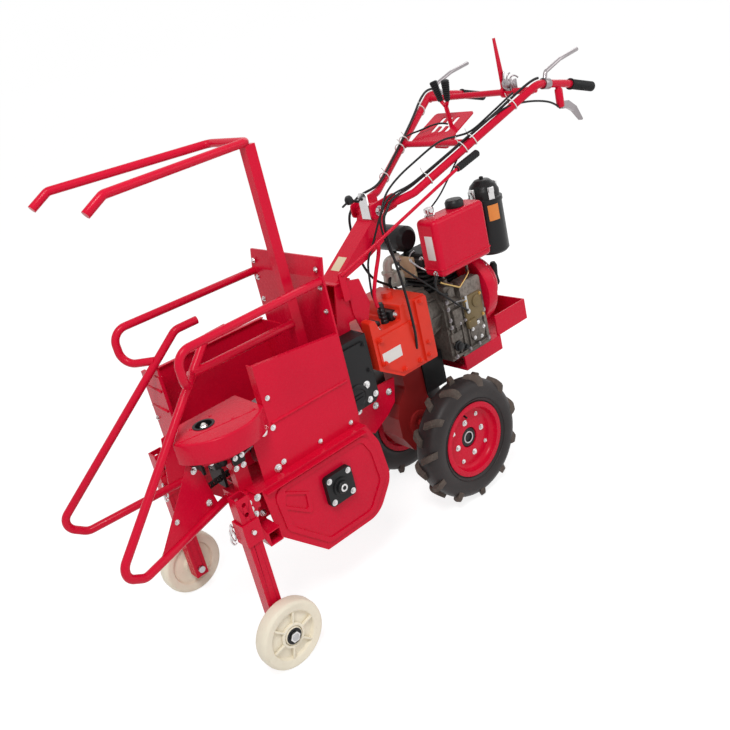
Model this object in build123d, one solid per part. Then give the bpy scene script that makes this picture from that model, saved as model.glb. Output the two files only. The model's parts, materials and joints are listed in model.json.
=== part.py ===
from build123d import *
import os

# Walk-behind power tiller that carries a one-row maize picking head in front.
# Millimetres. +X points forward to the picking head, +Y to the left, +Z up.
# While the pieces are made, x = 0 is the drive axle and z = 0 the ground.

# Drive wheels
AXLE_Z = 205.0
TYRE_R = 205.0
LUG_HEIGHT = 13.0
LUG_WIDTH = 21.0
LUG_COUNT = 11
LUG_SLANT = 32.0
TYRE_WIDTH = 92.0
TYRE_SEAT_R = 108.0
BEAD_HALF = 34.0
RIM_WALL = 4.0
RIM_LIP = 13.0
WHEEL_Y = 162.0
DISC_SET = -6.0
DISC_RISE = 12.0
DISC_FLAT_R = 86.0
HUB_R = 34.0
HUB_FLANGE_R = 68.0
HUB_NOSE_R = 32.0
HUB_LENGTH = 66.0
AXLE_R = 15.0
AXLE_FIT = 0.3

# Front support wheels
FRONT_X = 824.0
FRONT_R = 94.0
FRONT_WIDTH = 44.0
FRONT_HUB_R = 24.0
FRONT_WEB_R = 62.0
FRONT_PIN_R = 10.0
LEG_GAP = 5.3

# Picking head frame
HEAD_HALF = 202.0
RAIL = 40.0
RAIL_SET = 52.0
RAIL_TOP = 460.0
RAIL_END = 800.0
TUBE_WALL = 4.0
PLATE_X = 385.0
PLATE_T = 6.0
PLATE_SET = 32.0
PLATE_TOP = 950.0
PLATE_FOLD = 896.0
PLATE_LEAN = 11.0
DECK_T = 4.0
LANE_HALF = 62.0
MOUTH_HALF = 86.0
SHEET = 3.0
STUB_X = 765.0
STUB_Z = 345.0
STUB_OUT = 29.0
SOCKET = 50.0
SOCKET_SET = 13.0
SOCKET_LOW = 364.0
SOCKET_TOP = 428.0
LEG = 39.4
LEG_FIT = 0.3
LEG_LOW = 70.0
LEG_TOP = 496.0
LEG_HOLLOW = 70.0
LOCK_R = 6.0
LOCK_Z = 400.0

# Side panel and ear bin
PANEL_END = 664.0
PANEL_REAR_TOP = 738.0
PANEL_TOP = 766.0
STRIP = 58.0
BIN_FRONT = 797.0
BIN_TOP = 734.0
LIP = 12.0
BEAD_R = 4.0

# Stalk dividers and guide loops
TUBE_R = 11.0
TIP_X = 1147.0
TIP_Y = 178.0
TOP_X = 718.0
TOP_Y = 78.0
TOP_Z = 852.0
FOOT_Z = 436.0
WING_X = 883.0
LOOP_X = 846.0
LOOP_Z = 889.0
LANE_TUBE_Y = 97.0
LANE_TUBE_Z = 791.0

# Gathering cover and wheel
SHAFT_X = 805.0
SHAFT_Y = 110.0
COVER_TOP = 660.0
COVER_R = 109.0
COVER_SKIRT = 58.0
COVER_HOLE_R = 24.0
GATHER_R = 60.0
GATHER_Z = 614.0
GATHER_T = 6.0
GATHER_FINGERS = 8
GATHER_SHAFT_R = 10.0
ARM_Z = 572.0

# Picking rollers
ROLLER_R = 30.0
ROLLER_Y = 35.0
ROLLER_FRONT = (772.0, 500.0)
ROLLER_REAR = (426.0, 585.0)
ROLLER_RIBS = 6
ROLLER_SHAFT_R = 9.0

# Stalk chopper
HOUSE_X = 515.0
HOUSE_Z = 336.0
HOUSE_ROUND = 72.0
ROTOR_X = 531.0
ROTOR_Z = 352.0
ROTOR_R = 104.0
DRUM_R = 40.0
ROTOR_SHAFT_R = 16.0
BLADES = 8
SIDE_T = 4.0
BEARING = 90.0
BEARING_T = 16.0

# Crop pusher over the lane
POST = 30.0
POST_X = 456.0
POST_Y = 86.0
PUSH_Z = 1279.0
PUSH_X = 882.0
PUSH_Y = 164.0
PUSH_HOOK = 50.0

# Head drive case and steering column
CASE_X = 252.0
CASE_LOW = 455.0
CASE_TOP = 668.0
CASE_LEFT = 104.0
CASE_RIGHT = -70.0
COUPLING_R = 62.0
COLUMN_W = 70.0
COLUMN_BEND = 812.0
COLUMN_FRONT = 258.0
BASE_HALF = 45.0
BASE_WALL = 5.0
BASE_FRONT = 304.0
BASE_REAR = 216.0

# Transmission
GEAR_X = 226.0
GEAR_TOP = 690.0
GEAR_LOW = 476.0
GEAR_LEFT = 100.0
GEAR_RIGHT = -95.0
NOTCH_Z = 644.0
NOTCH_WALL = 38.0
WALK_HALF = 45.0
WALK_BACK = 24.0
SHIELD_REAR = -66.0

# Engine and trays
TRAY_Z = 374.0
TRAY_T = 6.0
TRAY_HALF = 106.0
TRAY_FRONT = -112.0
TRAY_REAR = -290.0
TRAY_FLANGE = 40.0
ENGINE_Z = 424.0
REAR_TRAY_END = -445.0
REAR_TRAY_HALF = 95.0
REAR_TRAY_WALL = 72.0
CRANK_Z = 590.0
BLOCK_TOP = 640.0
BLOCK_HALF = 96.0
BLOCK_FRONT = -70.0
BLOCK_REAR = -250.0
BELL_R = 100.0
BELL_RIBS = 10
GOVERNOR = (-241.0, -146.0, 540.0, 662.0)
FAN_R = 126.0
FAN_DEPTH = 62.0
RECOIL_R = 90.0
RECOIL_DEPTH = 33.0
FIN_FRONT = -75.0
FIN_REAR = -225.0
FIN_LEFT = 34.0
FIN_RIGHT = -90.0
FIN_T = 6.0
FIN_PITCH = 16.0
FIN_COUNT = 6
HEAD_TOP = 760.0
ROCKER_TOP = 772.0
TANK_X = -170.0
TANK_LENGTH = 226.0
TANK_Y0 = 59.0
TANK_Y1 = 142.0
TANK_LOW = 718.0
TANK_TOP = 897.0
TANK_ROUND = 16.0
CAP_X = -200.0
CAP_R = 29.0
FILTER_X = -364.0
FILTER_Y = 70.0
FILTER_R = 54.0
FILTER_LOW = 692.0
FILTER_TOP = 938.0
PIPE_R = 11.0
MUFFLER_X = -100.0
MUFFLER_R = 42.0
MUFFLER_Z = 818.0
MUFFLER_NEAR = -30.0
MUFFLER_FAR = -178.0

# Handlebar
PIVOT_X = 55.0
PIVOT_Z = 966.0
PIVOT_R = 7.0
PIVOT_FIT = 0.3
EAR_GAP = 6.0
EAR_T = 6.0
HANDLE_R = 12.0
HANDLE_Y = 233.0
HANDLE_X = -505.0
HANDLE_Z = 1190.0
ELBOW_X = -60.0
ELBOW_Z = 984.0
GRIP_R = 16.0
KNOB_R = 13.0
LEVER_R = 6.5
CROSS_R = 10.0
REAR_CROSS = (HANDLE_X + 13.0, HANDLE_Z - 14.0)
FRONT_CROSS_X = -265.0
FRONT_CROSS_DROP = 1.0
tube_share = (FRONT_CROSS_X - ELBOW_X) / (HANDLE_X - ELBOW_X)
FRONT_CROSS = (FRONT_CROSS_X, round(ELBOW_Z + (HANDLE_Z - ELBOW_Z) * tube_share) - FRONT_CROSS_DROP)
CABLE_R = 4.0
CABLE_GAP = 5.0

P = {}


def box(x0, x1, y0, y1, z0, z1):
    return Pos((x0 + x1) / 2, (y0 + y1) / 2, (z0 + z1) / 2) * Box(x1 - x0, abs(y1 - y0), z1 - z0)


def cyl_y(x, z, y0, y1, r):
    return Pos(x, (y0 + y1) / 2, z) * Rot(90, 0, 0) * Cylinder(r, abs(y1 - y0))


def cyl_x(y, z, x0, x1, r):
    return Pos((x0 + x1) / 2, y, z) * Rot(0, 90, 0) * Cylinder(r, abs(x1 - x0))


def cyl_z(x, y, z0, z1, r):
    return Pos(x, y, (z0 + z1) / 2) * Cylinder(r, abs(z1 - z0))


def outline(rows, radius):
    if radius:
        return make_face(FilletPolyline(*rows, radius=radius, close=True))
    return make_face(Polyline(*rows, close=True))


def sheet_xz(points, y0, y1, radius=0.0):
    return extrude(outline([(x, y0, z) for x, z in points], radius), amount=y1 - y0, dir=(0, 1, 0))


def sheet_xy(points, z0, z1, radius=0.0):
    return extrude(outline([(x, y, z0) for x, y in points], radius), amount=z1 - z0, dir=(0, 0, 1))


def sheet_yz(points, x0, x1, radius=0.0):
    return extrude(outline([(x0, y, z) for y, z in points], radius), amount=x1 - x0, dir=(1, 0, 0))


def shrink(points, centre, factor):
    cx, cz = centre
    return [(cx + (x - cx) * factor, cz + (z - cz) * factor) for x, z in points]


def bent_sheet(points, thick, y0, y1, bend):
    path = FilletPolyline(*points, radius=bend)
    face = make_face(offset(path, amount=thick, side=Side.LEFT))
    return extrude(Plane.XZ * face, amount=y1 - y0, dir=(0, 1, 0)).moved(Pos(0, y0, 0))


def rod(points, r, bend=0.0):
    path = FilletPolyline(*points, radius=bend) if bend else Polyline(*points)
    start = Vector(*points[0])
    way = Vector(*points[1]) - start
    return sweep(Plane(origin=start, z_dir=way) * Circle(r), path=path)


def straight(a, b, r):
    way = Vector(*b) - Vector(*a)
    return extrude(Plane(origin=a, z_dir=way) * Circle(r), amount=way.length)


def revolve_y(points, x, z):
    rows = [(x + r, y, z) for r, y in points]
    return revolve(make_face(Polyline(*rows, close=True)), axis=Axis((x, 0, z), (0, 1, 0)))


def revolve_x(points, y, z):
    rows = [(x, y, z + r) for x, r in points]
    return revolve(make_face(Polyline(*rows, close=True)), axis=Axis((0, y, z), (1, 0, 0)))


def revolve_z(points, x, y):
    rows = [(x + r, y, z) for r, z in points]
    return revolve(make_face(Polyline(*rows, close=True)), axis=Axis((x, y, 0), (0, 0, 1)))


def mirror_y(shape):
    return mirror(shape, about=Plane.XZ)


# Drive tyre: beads behind the rim lips, round shoulders, two rows of slanting lugs
tyre_half = TYRE_WIDTH / 2
case_r = TYRE_R - LUG_HEIGHT
lip_r = TYRE_SEAT_R + RIM_LIP


def drive_tyre():
    outer_half = [
        (TYRE_SEAT_R, BEAD_HALF),
        (lip_r + 1, BEAD_HALF),
        (lip_r + 10, tyre_half * 0.97),
        (case_r - 46, tyre_half),
        (case_r - 16, tyre_half * 0.90),
        (case_r, tyre_half * 0.62),
    ]
    inner_half = [(r, -y) for r, y in reversed(outer_half)]
    case = revolve_y(outer_half + inner_half, 0, 0)
    crown = [(case_r - 26, 0.96), (TYRE_R - LUG_HEIGHT - 1, 0.96), (TYRE_R, 0.80)]
    limit_half = [(r, tyre_half * share) for r, share in crown]
    limit = revolve_y(limit_half + [(r, -y) for r, y in reversed(limit_half)], 0, 0)
    lugs = []
    for side in (-1, 1):
        for i in range(LUG_COUNT):
            turn = 360.0 / LUG_COUNT * (i + (0.5 if side > 0 else 0.0))
            bar = Box(LUG_WIDTH, tyre_half * 0.98, LUG_HEIGHT * 3.5)
            bar = Rot(0, 0, side * LUG_SLANT) * bar
            bar = Pos(0, side * tyre_half * 0.47, TYRE_R - LUG_HEIGHT * 1.75) * bar
            lugs.append((Rot(0, turn, 0) * bar) & limit)
    return case + lugs


# Drive rim: drop lips that hold the beads and a dished disc, all turned profiles
def drive_rim():
    wall = TYRE_SEAT_R - RIM_WALL
    edge = BEAD_HALF + RIM_WALL
    barrel_half = [(TYRE_SEAT_R, BEAD_HALF), (lip_r, BEAD_HALF), (lip_r, edge), (wall, edge)]
    barrel = revolve_y(barrel_half + [(r, -y) for r, y in reversed(barrel_half)], 0, 0)
    rise = DISC_SET + DISC_RISE
    front = [(HUB_NOSE_R, DISC_SET), (DISC_FLAT_R, DISC_SET), (DISC_FLAT_R + 10, rise), (wall + 1, rise)]
    disc = revolve_y(front + [(r, y - RIM_WALL) for r, y in reversed(front)], 0, 0)
    return barrel + disc


# Drive hub: barrel, bolted flange behind the disc and a hollow nose in front of it
def drive_hub():
    bore = AXLE_R + AXLE_FIT
    back = DISC_SET - RIM_WALL
    inner_end = DISC_SET - HUB_LENGTH
    return revolve_y(
        [(bore, inner_end), (HUB_R, inner_end), (HUB_R, back - 8), (HUB_FLANGE_R, back - 8),
         (HUB_FLANGE_R, back), (HUB_NOSE_R, back), (HUB_NOSE_R, DISC_SET + 13),
         (HUB_NOSE_R - 3, DISC_SET + 16), (bore, DISC_SET + 16)], 0, 0)


tyre = drive_tyre()
rim = drive_rim()
hub = drive_hub()
for side, name in ((1, "left"), (-1, "right")):
    for shape, kind in ((tyre, "drive_tyre"), (rim, "drive_rim"), (hub, "drive_hub")):
        placed = shape if side > 0 else mirror_y(shape)
        P[kind + "_" + name] = Pos(0, side * WHEEL_Y, AXLE_Z) * placed

axle_end = WHEEL_Y + DISC_SET + 8
P["drive_axle"] = cyl_y(0, AXLE_Z, -axle_end, axle_end, AXLE_R)

# Front support wheel: moulded roller wheel with a deep web and a hub bush
rail_y = HEAD_HALF - RAIL_SET
socket_y = HEAD_HALF + SOCKET_SET
stub_end = HEAD_HALF + STUB_OUT
front_half = FRONT_WIDTH / 2
front_y = socket_y + LEG / 2 + LEG_GAP + front_half
bore = FRONT_PIN_R + AXLE_FIT
tread_half = [
    (bore, front_half),
    (FRONT_HUB_R, front_half),
    (FRONT_HUB_R + 2, front_half - 9),
    (FRONT_WEB_R, front_half - 12),
    (FRONT_WEB_R + 4, front_half - 2),
    (FRONT_R - 9, front_half),
    (FRONT_R - 2, front_half - 5),
    (FRONT_R, front_half - 12),
]
front = revolve_y(tread_half + [(r, -y) for r, y in reversed(tread_half)], 0, 0)
for side, name in ((1, "left"), (-1, "right")):
    P["front_wheel_" + name] = Pos(FRONT_X, side * front_y, FRONT_R) * front

# Head frame of square tube: two rails, a rear cross tube, open leg stubs and leg sockets
rail_low = RAIL_TOP - RAIL
rail_in = rail_y - RAIL / 2
rail_out = rail_y + RAIL / 2
plate_front = PLATE_X + PLATE_T
sock = SOCKET / 2
stub = RAIL / 2
stub_in = stub - TUBE_WALL
inner = LEG / 2 + LEG_FIT
frame = box(plate_front, plate_front + RAIL, 0, rail_out, rail_low, RAIL_TOP)
frame += box(plate_front, RAIL_END, rail_in, rail_out, rail_low, RAIL_TOP)
frame += box(RAIL_END - 30, RAIL_END, MOUTH_HALF, rail_in, rail_low, RAIL_TOP)
frame += box(STUB_X - stub, STUB_X + stub, rail_in, rail_out, STUB_Z - stub, rail_low)
frame += box(STUB_X - stub, STUB_X + stub, rail_in, stub_end, STUB_Z - stub, STUB_Z + stub)
frame += sheet_xz(
    [(STUB_X + stub, STUB_Z - stub), (FRONT_X - sock, SOCKET_LOW), (FRONT_X - sock, SOCKET_LOW + RAIL),
     (STUB_X + stub, STUB_Z + stub)], socket_y - sock + TUBE_WALL, stub_end)
frame += box(FRONT_X - sock, FRONT_X + sock, socket_y - sock, socket_y + sock, SOCKET_LOW, SOCKET_TOP)
frame -= box(STUB_X - stub_in, STUB_X + stub_in, rail_out, stub_end + 1, STUB_Z - stub_in, STUB_Z + stub_in)
frame -= box(
    FRONT_X - inner, FRONT_X + inner, socket_y - inner, socket_y + inner, SOCKET_LOW - 1, SOCKET_TOP + 1)
frame += mirror_y(frame)

# Legs with a row of height holes, wheel pins and leg lock pins
leg = box(FRONT_X - LEG / 2, FRONT_X + LEG / 2, socket_y - LEG / 2, socket_y + LEG / 2, LEG_LOW, LEG_TOP)
pin = cyl_y(FRONT_X, FRONT_R, socket_y - LEG / 2 - 8, front_y + front_half + 8, FRONT_PIN_R)
lock = cyl_y(FRONT_X, LOCK_Z, socket_y - sock - 7, socket_y + sock + 7, LOCK_R)
for i in range(2):
    leg -= cyl_y(FRONT_X, SOCKET_TOP + 20 + 28 * i, socket_y - LEG, socket_y + LEG, LOCK_R)
leg -= box(
    FRONT_X - LEG / 2 + TUBE_WALL, FRONT_X + LEG / 2 - TUBE_WALL, socket_y - LEG / 2 + TUBE_WALL,
    socket_y + LEG / 2 - TUBE_WALL, LEG_TOP - LEG_HOLLOW, LEG_TOP + 1)
leg -= pin
leg -= lock
frame -= lock
frame -= mirror_y(lock)
P["head_frame"] = frame
P["leg_left"] = leg
P["leg_right"] = mirror_y(leg)
P["wheel_pins"] = pin + mirror_y(pin)
P["leg_lock_pins"] = lock + mirror_y(lock)

# Rear plate with its leaning top edge, and the hitch cheeks that clasp the walking case
plate_half = HEAD_HALF - PLATE_SET
plate_line = [(PLATE_X, rail_low), (PLATE_X, PLATE_FOLD), (PLATE_X - PLATE_LEAN, PLATE_TOP)]
front_line = [(x + PLATE_T, z) for x, z in reversed(plate_line)]
plate = sheet_xz(plate_line + front_line, -plate_half, plate_half)
cheek_line = [
    (PLATE_X, rail_low), (PLATE_X, CASE_LOW - 2), (CASE_X + 14, CASE_LOW - 2), (CASE_X - 6, CASE_LOW + 13),
    (142, GEAR_LOW - 14), (160, rail_low - 34), (196, rail_low - 62), (CASE_X + 10, rail_low - 94),
    (CASE_X + 70, rail_low - 48), (PLATE_X - 13, rail_low)]
for y0, y1 in ((WALK_HALF, WALK_HALF + PLATE_T), (-WALK_HALF - PLATE_T, -WALK_HALF)):
    plate += sheet_xz(cheek_line, y0, y1)
P["rear_plate"] = plate

# Deck, open along the stalk lane
deck_top = RAIL_TOP + DECK_T
bin_in = -MOUTH_HALF - 8
deck = box(plate_front, RAIL_END - 30, -HEAD_HALF, HEAD_HALF, RAIL_TOP, deck_top)
deck += box(RAIL_END - 30, BIN_FRONT, -HEAD_HALF, bin_in, RAIL_TOP, deck_top)
deck -= box(POST_X - POST / 2 - 1, RAIL_END + 100, -LANE_HALF, LANE_HALF, RAIL_TOP - 5, deck_top + 5)
P["deck"] = deck

# Left housing panel with a folded front edge, a top lip and a pressed bead
panel_y = plate_half
panel = sheet_xz(
    [(plate_front, deck_top), (PANEL_END, deck_top), (PANEL_END, PANEL_TOP), (plate_front, PANEL_REAR_TOP)],
    panel_y, panel_y + SHEET)
panel += box(PANEL_END - SHEET, PANEL_END, panel_y - 26, panel_y + SHEET, deck_top, PANEL_TOP)
panel += sheet_xz(
    [(plate_front, PANEL_REAR_TOP - SHEET), (PANEL_END, PANEL_TOP - SHEET), (PANEL_END, PANEL_TOP),
     (plate_front, PANEL_REAR_TOP)], panel_y - LIP, panel_y + SHEET)
panel += cyl_x(panel_y + SHEET, (deck_top + PANEL_REAR_TOP) / 2, plate_front + 10, PANEL_END - 10, BEAD_R)
panel -= box(plate_front, PANEL_END - SHEET, panel_y - LIP, panel_y, deck_top, PANEL_REAR_TOP - 20)
panel += box(PANEL_END, PANEL_END + STRIP, panel_y, panel_y + SHEET, deck_top, COVER_TOP - COVER_SKIRT - 2)
P["side_panel_left"] = panel

# Stalk dividers: one bent tube each, in an upright plane that leans in to the lane
lean = (TIP_Y - TOP_Y) / (TIP_X - 32 - TOP_X)


def on_plane(x):
    return TOP_Y + lean * (x - TOP_X)


divider_line = [(BIN_FRONT, FOOT_Z), (TIP_X - 61, FOOT_Z - 27), (TIP_X, FOOT_Z + 16), (TOP_X, TOP_Z)]
divider_end = (TOP_X - 66, TOP_Y - 4, TOP_Z + 2)
divider = rod([(x, on_plane(x), z) for x, z in divider_line] + [divider_end], TUBE_R, 33)
divider -= box(TOP_X - 20, RAIL_END, 0, HEAD_HALF, FOOT_Z - 60, FOOT_Z + 50)
wing_lines = {
    "left": [
        (TIP_X - 112, FOOT_Z - 18), (WING_X, ARM_Z + 19), (WING_X - 32, ARM_Z - 21),
        (WING_X - 53, FOOT_Z - 4)],
    "right": [
        (RAIL_END + 62, FOOT_Z - 4), (RAIL_END + 40, ARM_Z + 4), (RAIL_END, ARM_Z + 19), (RAIL_END, FOOT_Z)],
}
wings = {}
for name, rows in wing_lines.items():
    wing_face = make_face(Polyline(*[(x, on_plane(x), z) for x, z in rows], close=True))
    wings[name] = extrude(wing_face, amount=SHEET / 2, dir=(lean, -1, 0), both=True) - divider - frame
P["divider_left"] = divider
P["divider_right"] = mirror_y(divider)
P["divider_wing_left"] = wings["left"]
P["divider_wing_right"] = mirror_y(wings["right"])

# Guide loops and the lane tube behind the left divider
loop = rod(
    [(plate_front - 5, plate_half - 12, LOOP_Z), (LOOP_X, plate_half + 6, LOOP_Z - 3),
     (LOOP_X, plate_half + 4, LANE_TUBE_Z - 2), (LOOP_X - 57, LANE_TUBE_Y - 1, LANE_TUBE_Z)], TUBE_R, 40)
loop -= divider
loop -= plate
lane_tube = straight(
    (POST_X + POST / 2, LANE_TUBE_Y, LANE_TUBE_Z), (LOOP_X - 57, LANE_TUBE_Y, LANE_TUBE_Z), TUBE_R)
lane_tube -= divider
lane_tube -= loop
P["guide_loop_left"] = loop
P["guide_loop_right"] = mirror_y(loop)
P["lane_tube"] = lane_tube

# Open-topped ear bin on the right: folded lips, pressed beads and the strut of the right divider
bin_out = -HEAD_HALF + 2
bin_shape = box(plate_front, BIN_FRONT, bin_out, bin_out + SHEET, deck_top, BIN_TOP)
bin_shape += box(plate_front, BIN_FRONT, bin_out, bin_out + LIP, BIN_TOP - SHEET, BIN_TOP)
bin_shape += box(BIN_FRONT - SHEET, BIN_FRONT, bin_out, bin_in, deck_top, BIN_TOP + 9)
bin_shape += box(BIN_FRONT - LIP, BIN_FRONT, bin_out, bin_in, BIN_TOP + 9 - SHEET, BIN_TOP + 9)
bin_shape += box(plate_front, plate_front + SHEET, bin_out, bin_in, deck_top, BIN_TOP - 6)
for drop in (34, 94):
    bin_shape += cyl_y(BIN_FRONT, BIN_TOP - drop, bin_out + 8, bin_in - 10, BEAD_R)
    bin_shape += cyl_x(bin_out, BIN_TOP - drop, plate_front + 20, BIN_FRONT - 20, BEAD_R)
strut_x = BIN_FRONT - SHEET
bin_shape += box(strut_x - 6, strut_x, bin_in - 28, bin_in, COVER_TOP - 60, LANE_TUBE_Z - 5)
bin_shape -= box(plate_front + SHEET, BIN_FRONT - LIP, bin_out + SHEET, bin_in, deck_top, BIN_TOP - SHEET)
bin_shape -= P["divider_right"]
bin_shape -= P["guide_loop_right"]
P["ear_bin"] = bin_shape

# Gathering cover: a half-moon sheet cap with a rounded top edge, open to the lane and at the rear
flat_y = SHAFT_Y - GATHER_R - 10
cover_low = COVER_TOP - COVER_SKIRT
cover_rear = (PANEL_END, panel_y + SHEET)
cover_mid = (SHAFT_X + 3, SHAFT_Y + COVER_R)
cover_front = (SHAFT_X + GATHER_R + 37, SHAFT_Y + 13)
cover_nose = (SHAFT_X + 34, flat_y)
cover_face = make_face(
    ThreePointArc(cover_rear, cover_mid, cover_front)
    + Polyline(cover_front, cover_nose, (PANEL_END, flat_y), cover_rear))
outer = Pos(0, 0, cover_low) * extrude(cover_face, amount=COVER_SKIRT, dir=(0, 0, 1))
outer = fillet(outer.faces().sort_by(Axis.Z)[-1].edges(), SHEET + 2)
hollow = Pos(0, 0, cover_low - 1) * extrude(
    offset(cover_face, amount=-SHEET), amount=COVER_SKIRT - SHEET + 1, dir=(0, 0, 1))
cover_in = COVER_TOP - SHEET
hollow += box(PANEL_END - 1, cover_nose[0] - SHEET, flat_y - 1, flat_y + SHEET + 1, cover_low - 1, cover_in)
hollow += box(PANEL_END - 1, PANEL_END + SHEET + 1, flat_y, panel_y - 4, cover_low - 1, cover_in)
cover = outer - hollow
cover -= cyl_z(SHAFT_X, SHAFT_Y, COVER_TOP - 10, COVER_TOP + 5, COVER_HOLE_R)
P["gather_cover"] = cover

# Arm and bearing under the cover, and the fingered gathering wheel
arm_in = SHAFT_Y - 38
arm_out = panel_y
arm = sheet_xy(
    [(PANEL_END, arm_out), (PANEL_END, arm_in), (SHAFT_X - 35, arm_in), (SHAFT_X + 45, SHAFT_Y - 20),
     (SHAFT_X + 45, SHAFT_Y + 30), (SHAFT_X - 15, arm_out)], ARM_Z, ARM_Z + 6)
arm += cyl_z(SHAFT_X, SHAFT_Y, ARM_Z + 6, ARM_Z + 32, 28)
arm += box(PANEL_END, PANEL_END + 6, arm_in, arm_out, deck_top, ARM_Z)
arm += box(STUB_X - stub, STUB_X + stub, rail_y - 24, rail_y + 2, RAIL_TOP, ARM_Z)
arm -= cyl_z(SHAFT_X, SHAFT_Y, ARM_Z + 8, ARM_Z + 40, GATHER_SHAFT_R + AXLE_FIT)
arm -= deck
P["gather_arm"] = arm
wheel = cyl_z(SHAFT_X, SHAFT_Y, GATHER_Z, GATHER_Z + GATHER_T, GATHER_R - 20)
finger_line = [(20, -9), (GATHER_R - 3, -3), (GATHER_R, 4), (GATHER_R - 4, 7), (20, 9)]
finger = sheet_xy(finger_line, GATHER_Z, GATHER_Z + GATHER_T)
for i in range(GATHER_FINGERS):
    wheel += Pos(SHAFT_X, SHAFT_Y, 0) * Rot(0, 0, 360.0 / GATHER_FINGERS * i) * finger
limit = cyl_z(SHAFT_X, SHAFT_Y, GATHER_Z - 1, GATHER_Z + GATHER_T + 1, GATHER_R)
P["gather_wheel"] = (wheel & limit) + cyl_z(SHAFT_X, SHAFT_Y, ARM_Z + 9, COVER_TOP - 4, GATHER_SHAFT_R)

# Picking rollers with ribs, inclined upward to the rear, and their bearings
fx, fz = ROLLER_FRONT
rx, rz = ROLLER_REAR
way = Vector(fx - rx, 0, fz - rz).normalized()
span = Vector(fx - rx, 0, fz - rz).length
bearings = box(plate_front, plate_front + 22, -LANE_HALF - 18, LANE_HALF + 18, deck_top, rz + 55)
hanger = box(RAIL_END - 16, RAIL_END - 8, ROLLER_Y - 13, -bin_in, RAIL_TOP, fz + 14)
bearings += hanger + mirror_y(hanger)
for s, name in ((1, "left"), (-1, "right")):
    axis = Plane(origin=(rx, s * ROLLER_Y, rz), z_dir=(way.X, way.Y, way.Z), x_dir=(0, 1, 0))
    body = Pos(0, 0, span / 2) * Cylinder(ROLLER_R - 6, span - 40)
    body += Pos(0, 0, span / 2) * Cylinder(ROLLER_SHAFT_R, span + 36)
    for i in range(ROLLER_RIBS):
        rib = Pos(ROLLER_R / 2, 0, span / 2) * Box(ROLLER_R, 7, span - 40)
        body += Rot(0, 0, 360.0 / ROLLER_RIBS * (i + (0.5 if s > 0 else 0.0))) * rib
    P["roller_" + name] = axis * body
    bearings -= axis * Pos(0, 0, span / 2) * Cylinder(ROLLER_SHAFT_R + AXLE_FIT, span + 40)
P["roller_bearings"] = bearings

# Stalk chopper: side plates with pressed ribs and a top fold, joined by a curved rear hood
side_in = HEAD_HALF - SIDE_T
side_rear = [
    (HOUSE_X + 97, HOUSE_Z - 147), (HOUSE_X - 95, HOUSE_Z - 149), (HOUSE_X - 165, HOUSE_Z - 62),
    (HOUSE_X - 153, HOUSE_Z + 61), (plate_front + 1, RAIL_TOP)]
side_front = [
    (plate_front + 1, RAIL_TOP), (STUB_X - 13, RAIL_TOP), (STUB_X - stub - 5, HOUSE_Z - 19), side_rear[0]]
side_line = side_front[1:] + side_rear[1:]
skin_face = make_face(
    FilletPolyline(*[(x, side_in, z) for x, z in side_rear], radius=HOUSE_ROUND + SIDE_T)
    + Polyline(*[(x, side_in, z) for x, z in side_front]))
skin = extrude(skin_face, amount=SIDE_T, dir=(0, 1, 0))
centre = (HOUSE_X + 20, HOUSE_Z - 8)
rib_y = HEAD_HALF + 4
skin += sheet_xz(shrink(side_line, centre, 0.87), HEAD_HALF, rib_y, 30) - sheet_xz(
    shrink(side_line, centre, 0.78), HEAD_HALF, rib_y, 26)
web_line = [
    (STUB_X - 61, HOUSE_Z + 96), (STUB_X - 145, HOUSE_Z + 48), (STUB_X - 139, HOUSE_Z - 16),
    (STUB_X - 48, HOUSE_Z + 54)]
web_mid = (STUB_X - 100, HOUSE_Z + 48)
web_in = shrink(web_line, web_mid, 0.7)
skin += sheet_xz(web_line, HEAD_HALF, rib_y, 8) - sheet_xz(web_in, HEAD_HALF, rib_y, 5)
skin += box(plate_front + 12, STUB_X - stub, HEAD_HALF, HEAD_HALF + LIP, RAIL_TOP - 10, RAIL_TOP - 10 + SHEET)
skin -= cyl_y(ROTOR_X, ROTOR_Z, side_in - 1, HEAD_HALF + 1, ROTOR_SHAFT_R + 10)
hood_line = [
    (plate_front + 4, rail_low), (HOUSE_X - 149, HOUSE_Z + 61), (HOUSE_X - 160, HOUSE_Z - 60),
    (HOUSE_X - 92, HOUSE_Z - 143), (HOUSE_X + 10, HOUSE_Z - 143)]
hood = bent_sheet(hood_line, SIDE_T, -side_in, side_in, HOUSE_ROUND)
P["chopper_housing"] = hood + [skin, mirror_y(skin)]

block = fillet(Box(BEARING, BEARING_T, BEARING).edges().filter_by(Axis.Y), 12)
block = Pos(ROTOR_X, HEAD_HALF + BEARING_T / 2, ROTOR_Z) * block
hub_y = HEAD_HALF + BEARING_T
block += cyl_y(ROTOR_X, ROTOR_Z, hub_y, hub_y + 5, ROTOR_SHAFT_R + 10)
block -= cyl_y(ROTOR_X, ROTOR_Z, HEAD_HALF - 1, hub_y + 6, ROTOR_SHAFT_R + AXLE_FIT)
P["chopper_bearings"] = block + mirror_y(block)

# Chopper rotor: drum and staggered knives with hooked tips
drum_half = side_in - 28
rotor = cyl_y(ROTOR_X, ROTOR_Z, -hub_y - 12, hub_y + 12, ROTOR_SHAFT_R)
rotor += cyl_y(ROTOR_X, ROTOR_Z, -drum_half, drum_half, DRUM_R)
root = DRUM_R - 10
tip = ROTOR_R - 6
knife_line = [(-18, root), (18, root), (14, tip - 18), (26, tip), (-12, tip)]
for i in range(BLADES):
    y = (i - (BLADES - 1) / 2) * 2 * (rail_in - 10) / BLADES
    knife = sheet_xz(knife_line, y - 4, y + 4)
    rotor += Pos(ROTOR_X, 0, ROTOR_Z) * Rot(0, 135 * i, 0) * knife
P["chopper_rotor"] = rotor

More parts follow.
